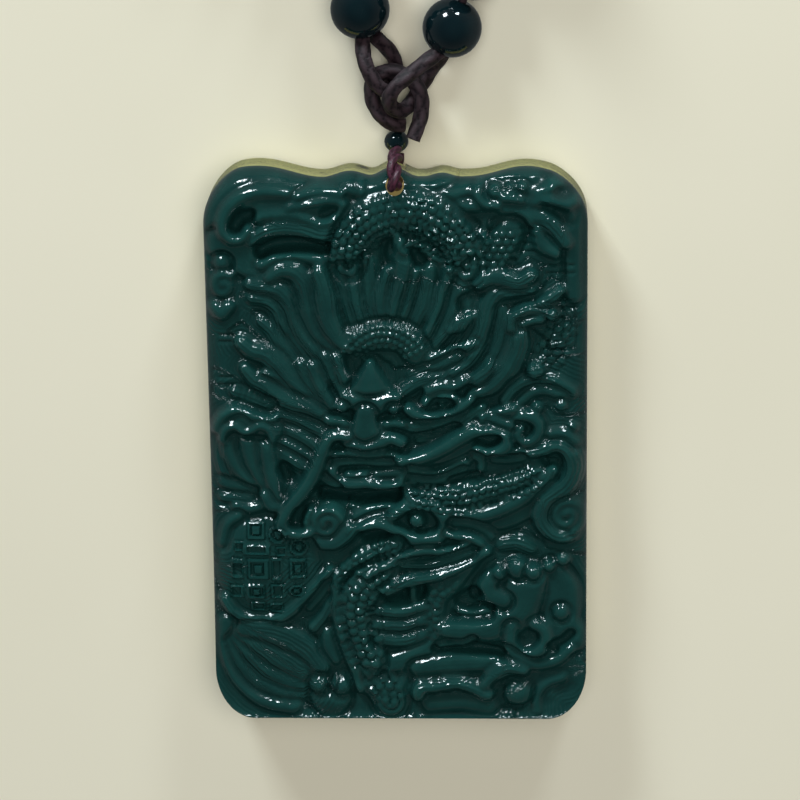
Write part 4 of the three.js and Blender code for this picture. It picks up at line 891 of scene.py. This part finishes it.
# %% The head
def face():
    strand([(-2.6, 9.4), (-2.6, 7.8), (-2.6, 6.2)], [0.4, 1.2, 2], [7.5, 7.9, 8.1])
    strand([(-5, 5.8), (-2.7, 5), (-0.2, 5.8)], [0.6, 0.9, 0.6], 8)
    knob(-5.4, 4.9, 0.7, 7.8)
    knob(-0.3, 4.7, 0.7, 7.8)
    strand([(2.8, 5.2), (3.4, 6), (4.6, 6.2), (5.8, 5.8), (6.2, 5)], 0.35, 7.7)
    strand([(1.2, 4.6), (2.4, 3.8), (4.2, 3.5), (5.8, 4), (6.9, 5.2), (7.4, 5.6)],
           [0.5, 0.6, 0.7, 0.4], 7.8)
    hollow([(3.8, 4.9), (5.2, 5.1)], 0.75, 5.9)
    knob(4.5, 5, 0.5, 6.9)
    strand([(3.2, 6.5), (4.4, 7), (5.8, 7), (6.8, 7.6)], 0.45, 7.6)
    strand([(0.6, 2.8), (2.6, 2.6), (4.8, 2.7), (6.8, 3.5), (8.6, 4.8)], [0.5, 0.7, 0.4],
           7.3, lines=2)
    strand([(2.2, 1.2), (4, 1.6), (5.8, 2.3)], 0.5, 6.6, lines=2)
    strand([(-6.8, 3.4), (-5.4, 3.2), (-4.4, 2.4), (-4.3, 1.4)], 0.45, 7.4)
    strand([(-2, 1.3), (-1.7, 2.4), (-0.8, 3.1), (0.6, 3)], 0.45, 7.4)
    strand([(-3.1, 4.2), (-3.1, 2.8), (-3.1, 1.3)], [0.9, 1.2, 1.8], 7.9, 0.5)
    strand([(-6.8, 1.7), (-5.6, 1.9), (-4.6, 1), (-3.2, 0.5), (-1.8, 1), (-0.7, 1.6), (0.4, 1.2)],
           0.55, 7.9)
    strand([(-6.2, -0.2), (-4.8, -0.2), (-3.2, -0.5), (-1.2, -0.2), (0, -0.4)], 0.5, 7.5, lines=2)
    strand([(-7.2, -1.8), (-6, -1.2), (-4.4, -1.2), (-2.8, -1.3), (-1, -1.2), (0.6, -1.4)], 0.4, 7)
    hollow([(-5.4, -1.9), (-3.4, -1.8), (-1.6, -2)], 0.45, 5.4)
    strand([(-4.9, -2.5), (-3.9, -2.5), (-2.8, -2.4)], 0.45, 7.3, lines=3)
    strand([(-2.2, -2.4), (-0.8, -2.3), (0.6, -2.2)], 0.4, 6.9)
    strand([(-6.6, -1.9), (-6.2, -3), (-4.8, -3.4), (-3.2, -3.3), (-1.6, -3.5), (0, -3.4),
            (1.2, -2.4)], 0.45, 7.4)
    strand([(-7.8, -2.6), (-7, -3.2), (-6.2, -3.9)], 0.4, 6.8)
    hollow([(-7.4, -4.5), (-5, -4.8), (-2.2, -4.8), (0.4, -4.5)], 0.8, 4)


# %% The scaled neck and the scroll at the right
def right_scroll():
    strand([(9.4, -2.2), (11.4, -1.6), (13.6, -1.4)], 1, 6.5, 0.3)
    strand([(8.6, -7.6), (10.6, -7.4), (12.4, -6.6), (13.4, -5.8)], 0.9, 6.7, 0.3)
    strand([(1.2, -4.6), (3.8, -5), (6.4, -4.8), (9.2, -4), (11.8, -3.2), (14.2, -2.1)],
           [0.8, 1.3, 1.3, 1.1, 0.7], 7.2, 0.1)
    strand([(4.6, -6.2), (7, -6.7), (9, -6.5), (11, -5.7), (13, -4.5), (14.6, -3.1), (15.6, -1.9)],
           [0.5, 0.7, 0.7, 0.5], 7.5)
    strand([(11.2, 0), (13.2, 0.1), (14.6, 0.5), (15.6, 1), (16.8, 0.7), (17.6, -0.4),
            (17.8, -1.8), (17.2, -3.2), (16, -4.3), (14.9, -5.3), (14.4, -6.7), (15, -8.1),
            (16.4, -8.9), (17.8, -8.7)], [0.4, 0.8, 0.9, 0.9, 0.8, 0.5], 7.6, lines=2)
    curl(17, -6.7, 1.9, 1.6, -1.2, 0.42, 7.2)
    strand([(15.3, 1.9), (16.8, 1.9), (18, 0.9)], 0.45, 7)


# %% Clouds under the chin
def clouds_in_the_middle():
    knob(-7.2, -7.5, 2.5, 7.2)
    curl(-7.2, -7.5, 2.2, 2.2, 2.4, 0.3, 7.6)
    strand([(-9.4, -8.9), (-8.2, -9.6), (-6.6, -9.7), (-5.4, -8.9), (-4.4, -7.7), (-2.8, -6.8),
            (-1.2, -6.3), (0, -6.2)], [0.5, 0.7, 0.6], 7.6, lines=2)
    strand([(-4.4, -6.9), (-2.6, -6), (-0.8, -5.7)], 0.4, 6.9)
    strand([(-0.6, -6.7), (0.7, -5.7), (2.4, -5.3), (4.1, -6.1), (4.8, -7.5), (4.2, -8.8),
            (2.4, -9.2), (0.8, -8.9), (-0.6, -8), (-2.2, -7.5), (-3.8, -7.9)],
           [0.5, 0.6, 0.6, 0.4], 7.8)
    knob(1.9, -7.1, 0.9, 7.8)
    hollow([(2.9, -6.7), (3.5, -7.5)], 0.45, 6)
    hollow([(-3.4, -9), (-2, -8.7), (-0.8, -9.3)], 0.6, 4.8)
    strand([(5, -8.6), (6.6, -8.9), (8, -9.3), (9.2, -10.3)], [0.4, 0.6, 0.4], 7.5)
    strand([(5.6, -7.6), (7.4, -7.8), (9, -8.6), (9.8, -9.8)], 0.45, 6.8)


# %% The whiskers
def whiskers():
    strand([(2.2, -1.1), (4, -0.7), (5.8, -0.1), (7.2, 0.7)], 0.6, 7.3)
    strand([(0.4, -0.7), (1.6, -0.6), (3.2, -0.1), (4.8, 0.7), (6.4, 1.7), (8, 2.5), (9.6, 2.7),
            (10.8, 2.2), (11.1, 1.2), (10.3, 0.4), (9.1, 0.1), (8, 0.6)],
           [0.5, 0.6, 0.65, 0.65, 0.6, 0.4], 8.1)
    hollow([(8.6, 1.3), (10, 1.6)], 0.5, 6.2)
    strand([(10.6, 3.6), (12, 3.9), (13.4, 3.7), (14.2, 2.8), (13.9, 1.6), (12.8, 1.1),
            (12.1, 1.8), (12.4, 2.6)], [0.4, 0.6, 0.5, 0.4], 7.5)
    strand([(8.6, 3.6), (10, 4.1), (11.6, 4.6)], 0.45, 7.6, lines=2)
    strand([(9.6, 3.6), (10.6, 3.2), (11.4, 2.9)], 0.4, 7.6)
    strand([(1.4, -1.8), (2.8, -2.3), (4.4, -2.1), (5.8, -1.5), (6.9, -1)], 0.45, 7.4)
    strand([(1.4, -2.9), (3.4, -3.1), (5.2, -2.7), (6.6, -2)], 0.4, 6.9)
    strand([(7.8, -0.4), (8.5, -0.9), (8.4, -1.7)], 0.4, 7.2)
    strand([(9.6, -0.8), (10.8, -0.9), (12.4, -0.7)], 0.4, 6.9)
    hollow([(5.4, -3), (6.8, -2.6), (8.2, -2.6)], 0.45, 5.2)


# %% The paw at the left
def paw_at_left():
    strand([(-17.8, 0.8), (-17.8, -1.2), (-17, -2.9), (-15.2, -4.2)], [0.6, 0.7, 0.4], 6.8, lines=2)
    strand([(-17, 1.8), (-16.9, 0.2), (-16, -1.6), (-14.7, -3), (-13.5, -4)], [0.9, 0.9, 0.4], 7.1)
    strand([(-15, 1.8), (-14.8, 0), (-14.1, -2), (-13.1, -3.8)], [0.9, 0.9, 0.4], 7.3)
    strand([(-13.1, 1.4), (-13, -0.4), (-12.7, -2.4), (-12.3, -4.4), (-12, -5.2)], [0.7, 0.8, 0.4],
           7.5)
    strand([(-17.8, -3.4), (-16.4, -3.9), (-14.8, -4.5)], 0.55, 6.5, lines=2)
    strand([(-17.8, -5), (-16.4, -5.1), (-15, -5.3)], 0.5, 6.5, lines=2)
    strand([(-17.4, 2.6), (-16.2, 3.4), (-14.8, 3.2), (-13.4, 2.8), (-12.4, 2.4)], [0.9, 1.2, 0.9],
           7.3, 0.3)
    strand([(-18.2, 2.4), (-17.6, 3.7), (-16.4, 4.5), (-15.2, 4.6), (-14.2, 3.8), (-13, 3.6),
            (-12.2, 3.9)], 0.45, 7.6)
    strand([(-17.6, 1.4), (-17.2, 2.5), (-16.2, 2.9), (-15.4, 2.3), (-14.6, 2.4), (-13.8, 2.9),
            (-12.8, 2.5), (-12.4, 1.4)], 0.35, 7.7)
    hollow([(-11.4, -1.8), (-10.9, -2.8)], 0.75, 5)
    strand([(-16.2, 6.2), (-14.6, 5.6), (-12.8, 4.9)], 0.6, 6.7, lines=2)
    strand([(-16.4, -6), (-15, -6.1), (-13.9, -5.8)], 0.45, 6.9)
    strand([(-13.4, -4.6), (-12.8, -5.6), (-11.8, -5.9)], [0.5, 0.6, 0.4], 7.5)


# %% The long whisker at the left
def long_whisker():
    strand([(-4.9, 1.7), (-5.9, 1.9), (-6.8, 1.5), (-7.4, 0.4), (-7.9, -1), (-8.6, -2.6),
            (-9.5, -4), (-10.6, -5.4), (-11.4, -6.6), (-11.7, -7.6), (-11.1, -8.4), (-9.9, -8.6),
            (-8.9, -8.4)], [0.4, 0.6, 0.65, 0.65, 0.6, 0.4], 7.9)
    hollow([(-10.4, -7.2), (-9.9, -6.2)], 0.6, 5.4)


# %% The tiled shield
def shield_at_left():
    knob(-13.3, -12.4, 5.5, 7.4)
    strand([(-18, -9.8), (-17.4, -7.9), (-16.2, -6.9)], 0.5, 6.8)
    strand([(-7, -12.8), (-8.4, -14.4), (-9.9, -15.8), (-11.2, -17.1), (-12.9, -18), (-15, -18.1),
            (-16.8, -17.2), (-17.9, -15.7)], 0.5, 7.6, lines=2)


# %% The wave at the bottom left
def wave_at_bottom_left():
    strand([(-17.8, -18.6), (-17.6, -21.8), (-16.5, -24.6), (-14.2, -26.8), (-11.2, -27.5)],
           0.9, 6.9, 0.3)
    for top, line in (
        (6.7, [(-17, -20.4), (-16, -22.8), (-14, -24.8), (-11.6, -25.8), (-9.6, -25.9)]),
        (6.85, [(-16.5, -19.8), (-15.2, -21.6), (-13.2, -23.4), (-11.2, -24.6), (-9.4, -25)]),
        (7, [(-16.2, -19.3), (-14.6, -20.5), (-12.6, -21.9), (-10.6, -23.2), (-9, -24.2)]),
        (7.2, [(-15.8, -18.9), (-13.8, -19.2), (-11.4, -20), (-9.4, -21.4), (-8.2, -23.2)]),
    ):
        strand(line, [0.8, 1.2, 0.8], top, 0.6, 6, crease=0.15)
    strand([(-8.8, -18.9), (-7.6, -17.4), (-6.9, -16)], 0.5, 7.1, lines=2)
    strand([(-7.4, -19.4), (-7.3, -20.8), (-6.6, -22.4)], [0.5, 0.8, 0.5], 7)
    strand([(-9.2, -16.8), (-8, -15.4), (-7.2, -14.2)], 0.4, 6.8)
    knob(-7.2, -26.6, 2.3, 7)
    knob(-8.3, -25.1, 1.2, 7.3)
    knob(-6.1, -25.3, 1.2, 7.3)


# %% The body between them
def body_in_the_middle():
    strand([(-0.2, -9.8), (-2.4, -10.8), (-4.4, -12.1), (-5.6, -13.6)], [0.8, 1.2, 0.9], 7.2, 0.2)
    strand([(-3, -23.6), (-1.6, -25.2), (-1, -27.2)], [1.8, 2.2, 1.6], 6.9, 0.4)
    strand([(8, -11.2), (6.6, -12.6), (5.4, -14), (3.8, -15.4), (3.3, -17.4), (3.4, -19.4),
            (3, -21), (1.2, -22.3), (-1.2, -23)], [0.6, 1.2, 1.2, 1], 6.9, 0.3)
    strand([(-1.6, -12.8), (-3.4, -14.2), (-4.3, -16.4), (-4.2, -18.6), (-3.7, -20.6),
            (-3, -22.6)], [1.2, 1.9, 1.9, 1.3], 7.4, 0.1)
    strand([(-6.4, -13.4), (-6.5, -16), (-6.3, -18.6), (-5.5, -21.4), (-4.6, -23.8),
            (-4.1, -25.6)], 0.4, 7.4)
    hollow([(-1, -15.3), (0.4, -15.2), (1.9, -15)], 1, 4.5)
    strand([(1.4, -14), (1.4, -15.8)], 0.35, 6.6)
    for y in (-17.1, -18.6, -20.1):
        strand([(-2.2, y), (0.3, y - 0.2), (2.2, y + 0.4)], 0.62, 7.1, lines=2)
    strand([(9, -10.5), (7.4, -11.3), (5.6, -12.3), (4, -13), (2.2, -13.4), (0.4, -13.9),
            (-1.2, -14.7)], [0.4, 0.6, 0.6], 7.6, lines=2)
    strand([(-3.4, -13), (-1.4, -12), (0.4, -11.2), (2.4, -10.4), (5, -10.5), (6.8, -10)],
           0.45, 7.6)
    strand([(0.6, -12), (3, -12), (5.2, -11.4), (7.2, -10.7)], 0.45, 7.1, lines=2)
    hollow([(1.4, -11.3), (2.6, -11.4)], 0.45, 6)


# %% The paw at the right
def paw_at_right():
    strand([(15.6, -13), (16.6, -15), (16.4, -18), (17.4, -20)], [1.3, 1.8, 1.6], 6.7, 0.5)
    strand([(13.2, -13.6), (12.4, -15.4), (11.2, -17.2), (9.4, -18.5), (7, -19), (4.6, -19)],
           [1.6, 2.1, 1.9, 1.1, 0.7], 7.5, 0.3)
    strand([(9.6, -13.2), (9, -14.2), (9.4, -15.2), (10.6, -15.8)], [0.7, 0.9, 0.8], 7.4, 0.2)
    strand([(10.4, -10), (12, -9.8), (13.4, -10.4)], [0.6, 0.9, 0.6], 6.8, lines=3)
    knob(10.2, -12.8, 0.8, 7.7)
    knob(12, -12.3, 1.2, 7.9)
    knob(13.6, -12.7, 0.9, 7.8)
    knob(15.2, -12.1, 0.7, 7.4)
    hollow([(6.4, -16.2), (7.6, -15.4)], 1, 4.4)
    hollow([(5.8, -17.5), (7.6, -17), (9.2, -16.7)], [0.6, 0.8, 0.6], 4.4)
    strand([(6, -17.3), (7.4, -17.5), (9, -17.3)], 0.35, 6.2)
    knob(16.6, -11.4, 0.8, 7.3)
    knob(16.4, -17.2, 1, 7.2)
    strand([(11.4, -18.6), (11.3, -20.4), (12.2, -21.7), (13.7, -21.6), (14.8, -20.5),
            (14.7, -19.1), (13.8, -18.4)], 0.6, 7.5)
    hollow([(12.8, -19.8), (13.6, -19.6)], 0.6, 5.6)
    hollow([(15.5, -20.8), (16.6, -20.4), (17.4, -19.6)], 0.65, 5.2)
    strand([(11, -21.2), (12.4, -22.4), (14, -22.9), (16, -22.4), (17.4, -21.2)], [0.4, 0.6, 0.5],
           7)


# %% Clouds along the bottom
def bottom_clouds():
    strand([(1.8, -23.4), (4.4, -23), (7, -22.8), (9.4, -22.7)], [0.8, 1.1, 0.9], 6.9, 0.3)
    hollow([(3.6, -21.2), (6, -20.9), (8, -21.2), (10.4, -21.6)], [0.5, 0.7, 0.7, 0.5], 4.8)
    strand([(4, -20.9), (5.4, -20.7), (6.6, -20.6), (7.4, -20.1)], 0.3, 6.6)
    strand([(3, -27.4), (6, -27.2), (9, -27.6)], 0.9, 6.7)
    strand([(1.8, -26.2), (2, -25.4), (4, -25.2), (5.8, -24.9), (7.4, -25.4), (8.9, -26.1)],
           0.6, 7.5, lines=3)
    strand([(8.6, -25), (9.6, -23.9), (11, -23.2), (12.6, -23.5)], [0.5, 0.8, 0.5], 7.5, lines=3)
    strand([(14, -28), (14, -26.2), (15, -25), (16.6, -24.4)], 0.5, 6.7)
    knob(12, -26, 1.6, 7.2)
    hollow([(16.4, -26), (17.2, -25.4)], 0.8, 5.4)
    hollow([(15, -27.2), (16, -27)], 0.5, 5.6)
    hollow([(10.6, -27.8), (12.2, -27.7)], 0.4, 5.2)

# %% [markdown]
# The carver sets the forms first and works their surfaces last. The same order is kept here: the
# forms are cut, their edges softened as polishing does, and scales, studs and tiles cut after it,
# so that they stay crisp.


# %% Fine carving on the forms
def fine_carving():
    crown_band = [
        (-4.6, 19.4), (-4.2, 21.8), (-2.4, 23.8), (0.4, 24.7), (3.2, 24.4), (5.4, 22.8), (6.7, 20.8),
        (7.1, 19),
    ]
    scales(crown_band, 2, 0.75, 0.42, 5)
    scales([(1.2, 21.4), (3, 22), (4.8, 21)], 1.6, 0.7, 0.36, 5)
    for radius, count in ((1.7, 8), (2.4, 11), (3.1, 14), (3.8, 16)):
        studs(arc(-1.2, 8.8, radius + 0.6, 30, 155, count), 0.28, 0.3)
    neck = [(1.4, -4.4), (4, -4.9), (6.6, -4.9), (9.2, -4.1), (11.8, -3.3), (14.2, -2.2)]
    scales(neck, 1.4, 0.7, 0.38, 4)
    body = [(-1.4, -12.6), (-3.4, -14.2), (-4.4, -16.4), (-4.3, -18.6), (-3.8, -20.6), (-3, -22.6)]
    scales(body, 2, 0.85, 0.38, 4)
    scales([(-0.4, -9.8), (-2.6, -10.9), (-4.6, -12.2), (-5.8, -13.6)], 1.15, 0.75, 0.35, 3)
    scales([(14.6, 9), (16.2, 11.6), (16.6, 14)], 1.7, 0.9, 0.3, 4)
    scales([(-3, -23.8), (-1.6, -25.2), (-1, -27)], 1.7, 0.9, 0.35, 4)
    scales([(5.4, -14), (3.8, -15.4), (3.3, -17.4), (3.4, -19.4)], 0.9, 0.8, 0.25, 2)
    for x, y in ((-17, 12.1), (-17, 11.4), (-17.2, 7.7), (-17.2, 6.9)):
        line_cut([(x - 0.6, y), (x + 0.8, y)], 0.24, 0.2)
    for y in (20.6, 21.4, 22.2, 23):
        line_cut([(12.4, y), (13.8, y)], 0.24, 0.2)
    for y in (14.9, 15.6, 18.4, 19.2):
        line_cut([(15, y), (17.6, y)], 0.24, 0.2)
    for i in range(5):
        line_cut([(-15.8 + 0.6 * i, 5.4), (-15.4 + 0.6 * i, 6.5)], 0.2, 0.14)
    studs([(8.9 + 0.85 * i + 0.4 * (j % 2), 19.4 + 0.75 * j) for i in range(4) for j in range(5)],
          0.36, 0.3)


# %% Blocks on the shield: place, width, height and kind
TILES = [
    (-14.4, -8.2, 1.8, 1.8, "ring"), (-12.2, -8.7, 1.9, 1.9, "round"),
    (-14.4, -10.3, 2.9, 0.9, "plain"), (-11.9, -10.4, 1, 1, "plain"),
    (-10.1, -10, 1.9, 1.9, "round"), (-16.4, -12.3, 1.1, 2, "plain"),
    (-14.3, -12.3, 2.1, 2.1, "ring"), (-12.4, -12.3, 1, 2.5, "plain"),
    (-10.2, -12.3, 1.7, 2.1, "ring"), (-16.5, -14.8, 1.3, 1.3, "plain"),
    (-14.5, -14.8, 1.8, 1.5, "ring"), (-12.3, -14.7, 1.4, 1.5, "plain"),
    (-10.4, -14.7, 1.7, 1.2, "round"), (-14.4, -16.4, 1.5, 0.9, "plain"),
    (-12.5, -16.6, 1.4, 1, "plain"), (-16.2, -9.9, 1, 1, "plain"),
]


def shield_blocks():
    for x, y, width, height, kind in TILES:
        tile(x, y, width, height, kind)


# %% Cut the face
for carve in (
    clouds_at_top_left, clouds_at_top_right, crown, mane_at_left, mane_at_right, face, right_scroll,
    clouds_in_the_middle, paw_at_left, whiskers, shield_at_left, long_whisker, wave_at_bottom_left,
    body_in_the_middle, paw_at_right, bottom_clouds,
):
    carve()


def softened(heights, passes):
    """Each height blended with its neighbours', that many times."""
    for _ in range(passes):
        padded = np.pad(heights, 1, mode="edge")
        heights = (padded[:-2] + 2 * padded[1:-1] + padded[2:])[:, 1:-1] / 4
        padded = np.pad(heights, 1, mode="edge")
        heights = (padded[:, :-2] + 2 * padded[:, 1:-1] + padded[:, 2:])[1:-1] / 4
    return heights


face_z = softened(face_z, 2)
fine_carving()
shield_blocks()
around = softened(face_z, 24)

# %% What the stone's finish reads, and the rounded rim
RIDGE_REACH, FARTHEST_HAIR = 1.3, 4
ridge = np.clip(0.5 + (face_z - around) / RIDGE_REACH, 0, 1)
hair = np.clip(softened(flow_side, 1), -FARTHEST_HAIR, FARTHEST_HAIR)
lined = softened(lined, 1)
lower = np.clip(-face_y / half_height, 0, 1) ** 2
wall_top = WALL_TOP + WALL_RISE * lower
rim = np.minimum(1, inside_by(face_x, face_y) / (RIM_ROUNDING - 0.7 * lower))
face_z = wall_top + (face_z - wall_top) * np.sqrt(1 - (1 - rim) ** 2)
print("face heights in mm:", round(float(face_z.min()), 2), "to", round(float(face_z.max()), 2))

# %% [markdown]
# The grid becomes the plaque: its points go to their places, its border is drawn down to the
# back in four rings for the wall and the rounded edge, and the last ring is filled flat. The
# hole and the groove for the cord are then cut with a Boolean modifier, as a drill and a saw
# would. Its exact solver is slow on so fine a mesh, and the one for closed meshes is quick.

# %% The plaque
WALL_RINGS = ((1.0, 4.2), (1.0, 0.7), (0.989, 0.2), (0.963, 0.0))
bm = bmesh.new()
rows, columns = face_x.shape
bmesh.ops.create_grid(bm, x_segments=columns - 1, y_segments=rows - 1, size=1.0)
for name in ("ridge", "hair", "lined"):
    bm.verts.layers.float.new(name)
layers = bm.verts.layers.float
ridge_layer, hair_layer, lined_layer = layers["ridge"], layers["hair"], layers["lined"]
for vert in bm.verts:
    i = round((vert.co.x + 1) / 2 * (columns - 1))
    j = round((vert.co.y + 1) / 2 * (rows - 1))
    vert[ridge_layer], vert[hair_layer] = float(ridge[j, i]), float(hair[j, i])
    vert[lined_layer] = float(lined[j, i])
    vert.co = (face_x[j, i], face_y[j, i], face_z[j, i])
border = [edge for edge in bm.edges if edge.is_boundary]
for shrink, z in WALL_RINGS:
    made = bmesh.ops.extrude_edge_only(bm, edges=border)["geom"]
    border = [part for part in made if isinstance(part, bmesh.types.BMEdge)]
    for vert in (part for part in made if isinstance(part, bmesh.types.BMVert)):
        vert.co.x *= shrink
        vert.co.y *= shrink
        vert.co.z = z
        vert[ridge_layer] = 0.5
bmesh.ops.contextual_create(bm, geom=border)
bmesh.ops.recalc_face_normals(bm, faces=bm.faces)
plaque = finish_piece("carved_plaque", bm, PLAQUE_STONE, ["plaque"])

# %% The shape of the drill and the saw
GROOVE_WIDTH, GROOVE_LENGTH, GROOVE_DEPTH_AT_BACK, DRILL_LENGTH = 1.7, 4.0, 1.7, 12
bm = bmesh.new()
bmesh.ops.create_cone(
    bm, segments=40, radius1=HOLE_RADIUS, radius2=HOLE_RADIUS, depth=DRILL_LENGTH, cap_ends=True,
    matrix=Matrix.Translation((HOLE_X, HOLE_Y, 4)),
)
groove_size = Matrix.Diagonal((GROOVE_WIDTH, GROOVE_LENGTH, 2 * GROOVE_DEPTH_AT_BACK, 1))
groove_place = Matrix.Translation((HOLE_X, HOLE_Y + GROOVE_LENGTH / 2, 0))
bmesh.ops.create_cube(bm, size=1.0, matrix=groove_place @ groove_size)
bmesh.ops.scale(bm, vec=(MM, MM, MM), verts=bm.verts)
tool_mesh = bpy.data.meshes.new("drill")
bm.to_mesh(tool_mesh)
bm.free()
drill = bpy.data.objects.new("drill", tool_mesh)
bpy.context.collection.objects.link(drill)

# %% The hole and the groove
SHARP_ANGLE = math.radians(50)
cut = plaque.modifiers.new("hole", "BOOLEAN")
cut.operation, cut.solver, cut.object = "DIFFERENCE", "MANIFOLD", drill
evaluated = plaque.evaluated_get(bpy.context.evaluated_depsgraph_get())
drilled_mesh = bpy.data.meshes.new_from_object(evaluated)
plaque.modifiers.clear()
plaque.data = drilled_mesh
drilled_mesh.polygons.foreach_set("use_smooth", [True] * len(drilled_mesh.polygons))
drilled_mesh.set_sharp_from_angle(angle=SHARP_ANGLE)
bpy.data.objects.remove(drill)
print("plaque:", sum(len(p.vertices) - 2 for p in drilled_mesh.polygons), "triangles")

# %% [markdown]
# ## The floor
#
# A plain pale sheet, which isn't part of the object. It lies a hair below the plaque's back, so
# that the two don't share a plane, and it is hidden from reflections: the steep sides of the
# forms would mirror it as grey outlines, and the real stone hung in front of darker things.

# %% Floor
FLOOR_SIZE, FLOOR_BELOW = 1.5, 0.05
bm = bmesh.new()
under_the_plaque = Matrix.Translation((0, 0, -FLOOR_BELOW * MM))
bmesh.ops.create_grid(bm, x_segments=2, y_segments=2, size=FLOOR_SIZE, matrix=under_the_plaque)
floor_mesh = bpy.data.meshes.new("floor")
bm.to_mesh(floor_mesh)
bm.free()
paper = Finish("floor_paper")
paper_colour = paper.blend(paper.grain(60.0), srgb(219, 213, 193), srgb(227, 221, 203))
paper.put(paper.shader.inputs["Base Color"], paper_colour)
paper.shader.inputs["Roughness"].default_value = 0.7
floor_mesh.materials.append(paper.material)
floor = bpy.data.objects.new("floor", floor_mesh)
bpy.context.collection.objects.link(floor)
floor.visible_glossy = False
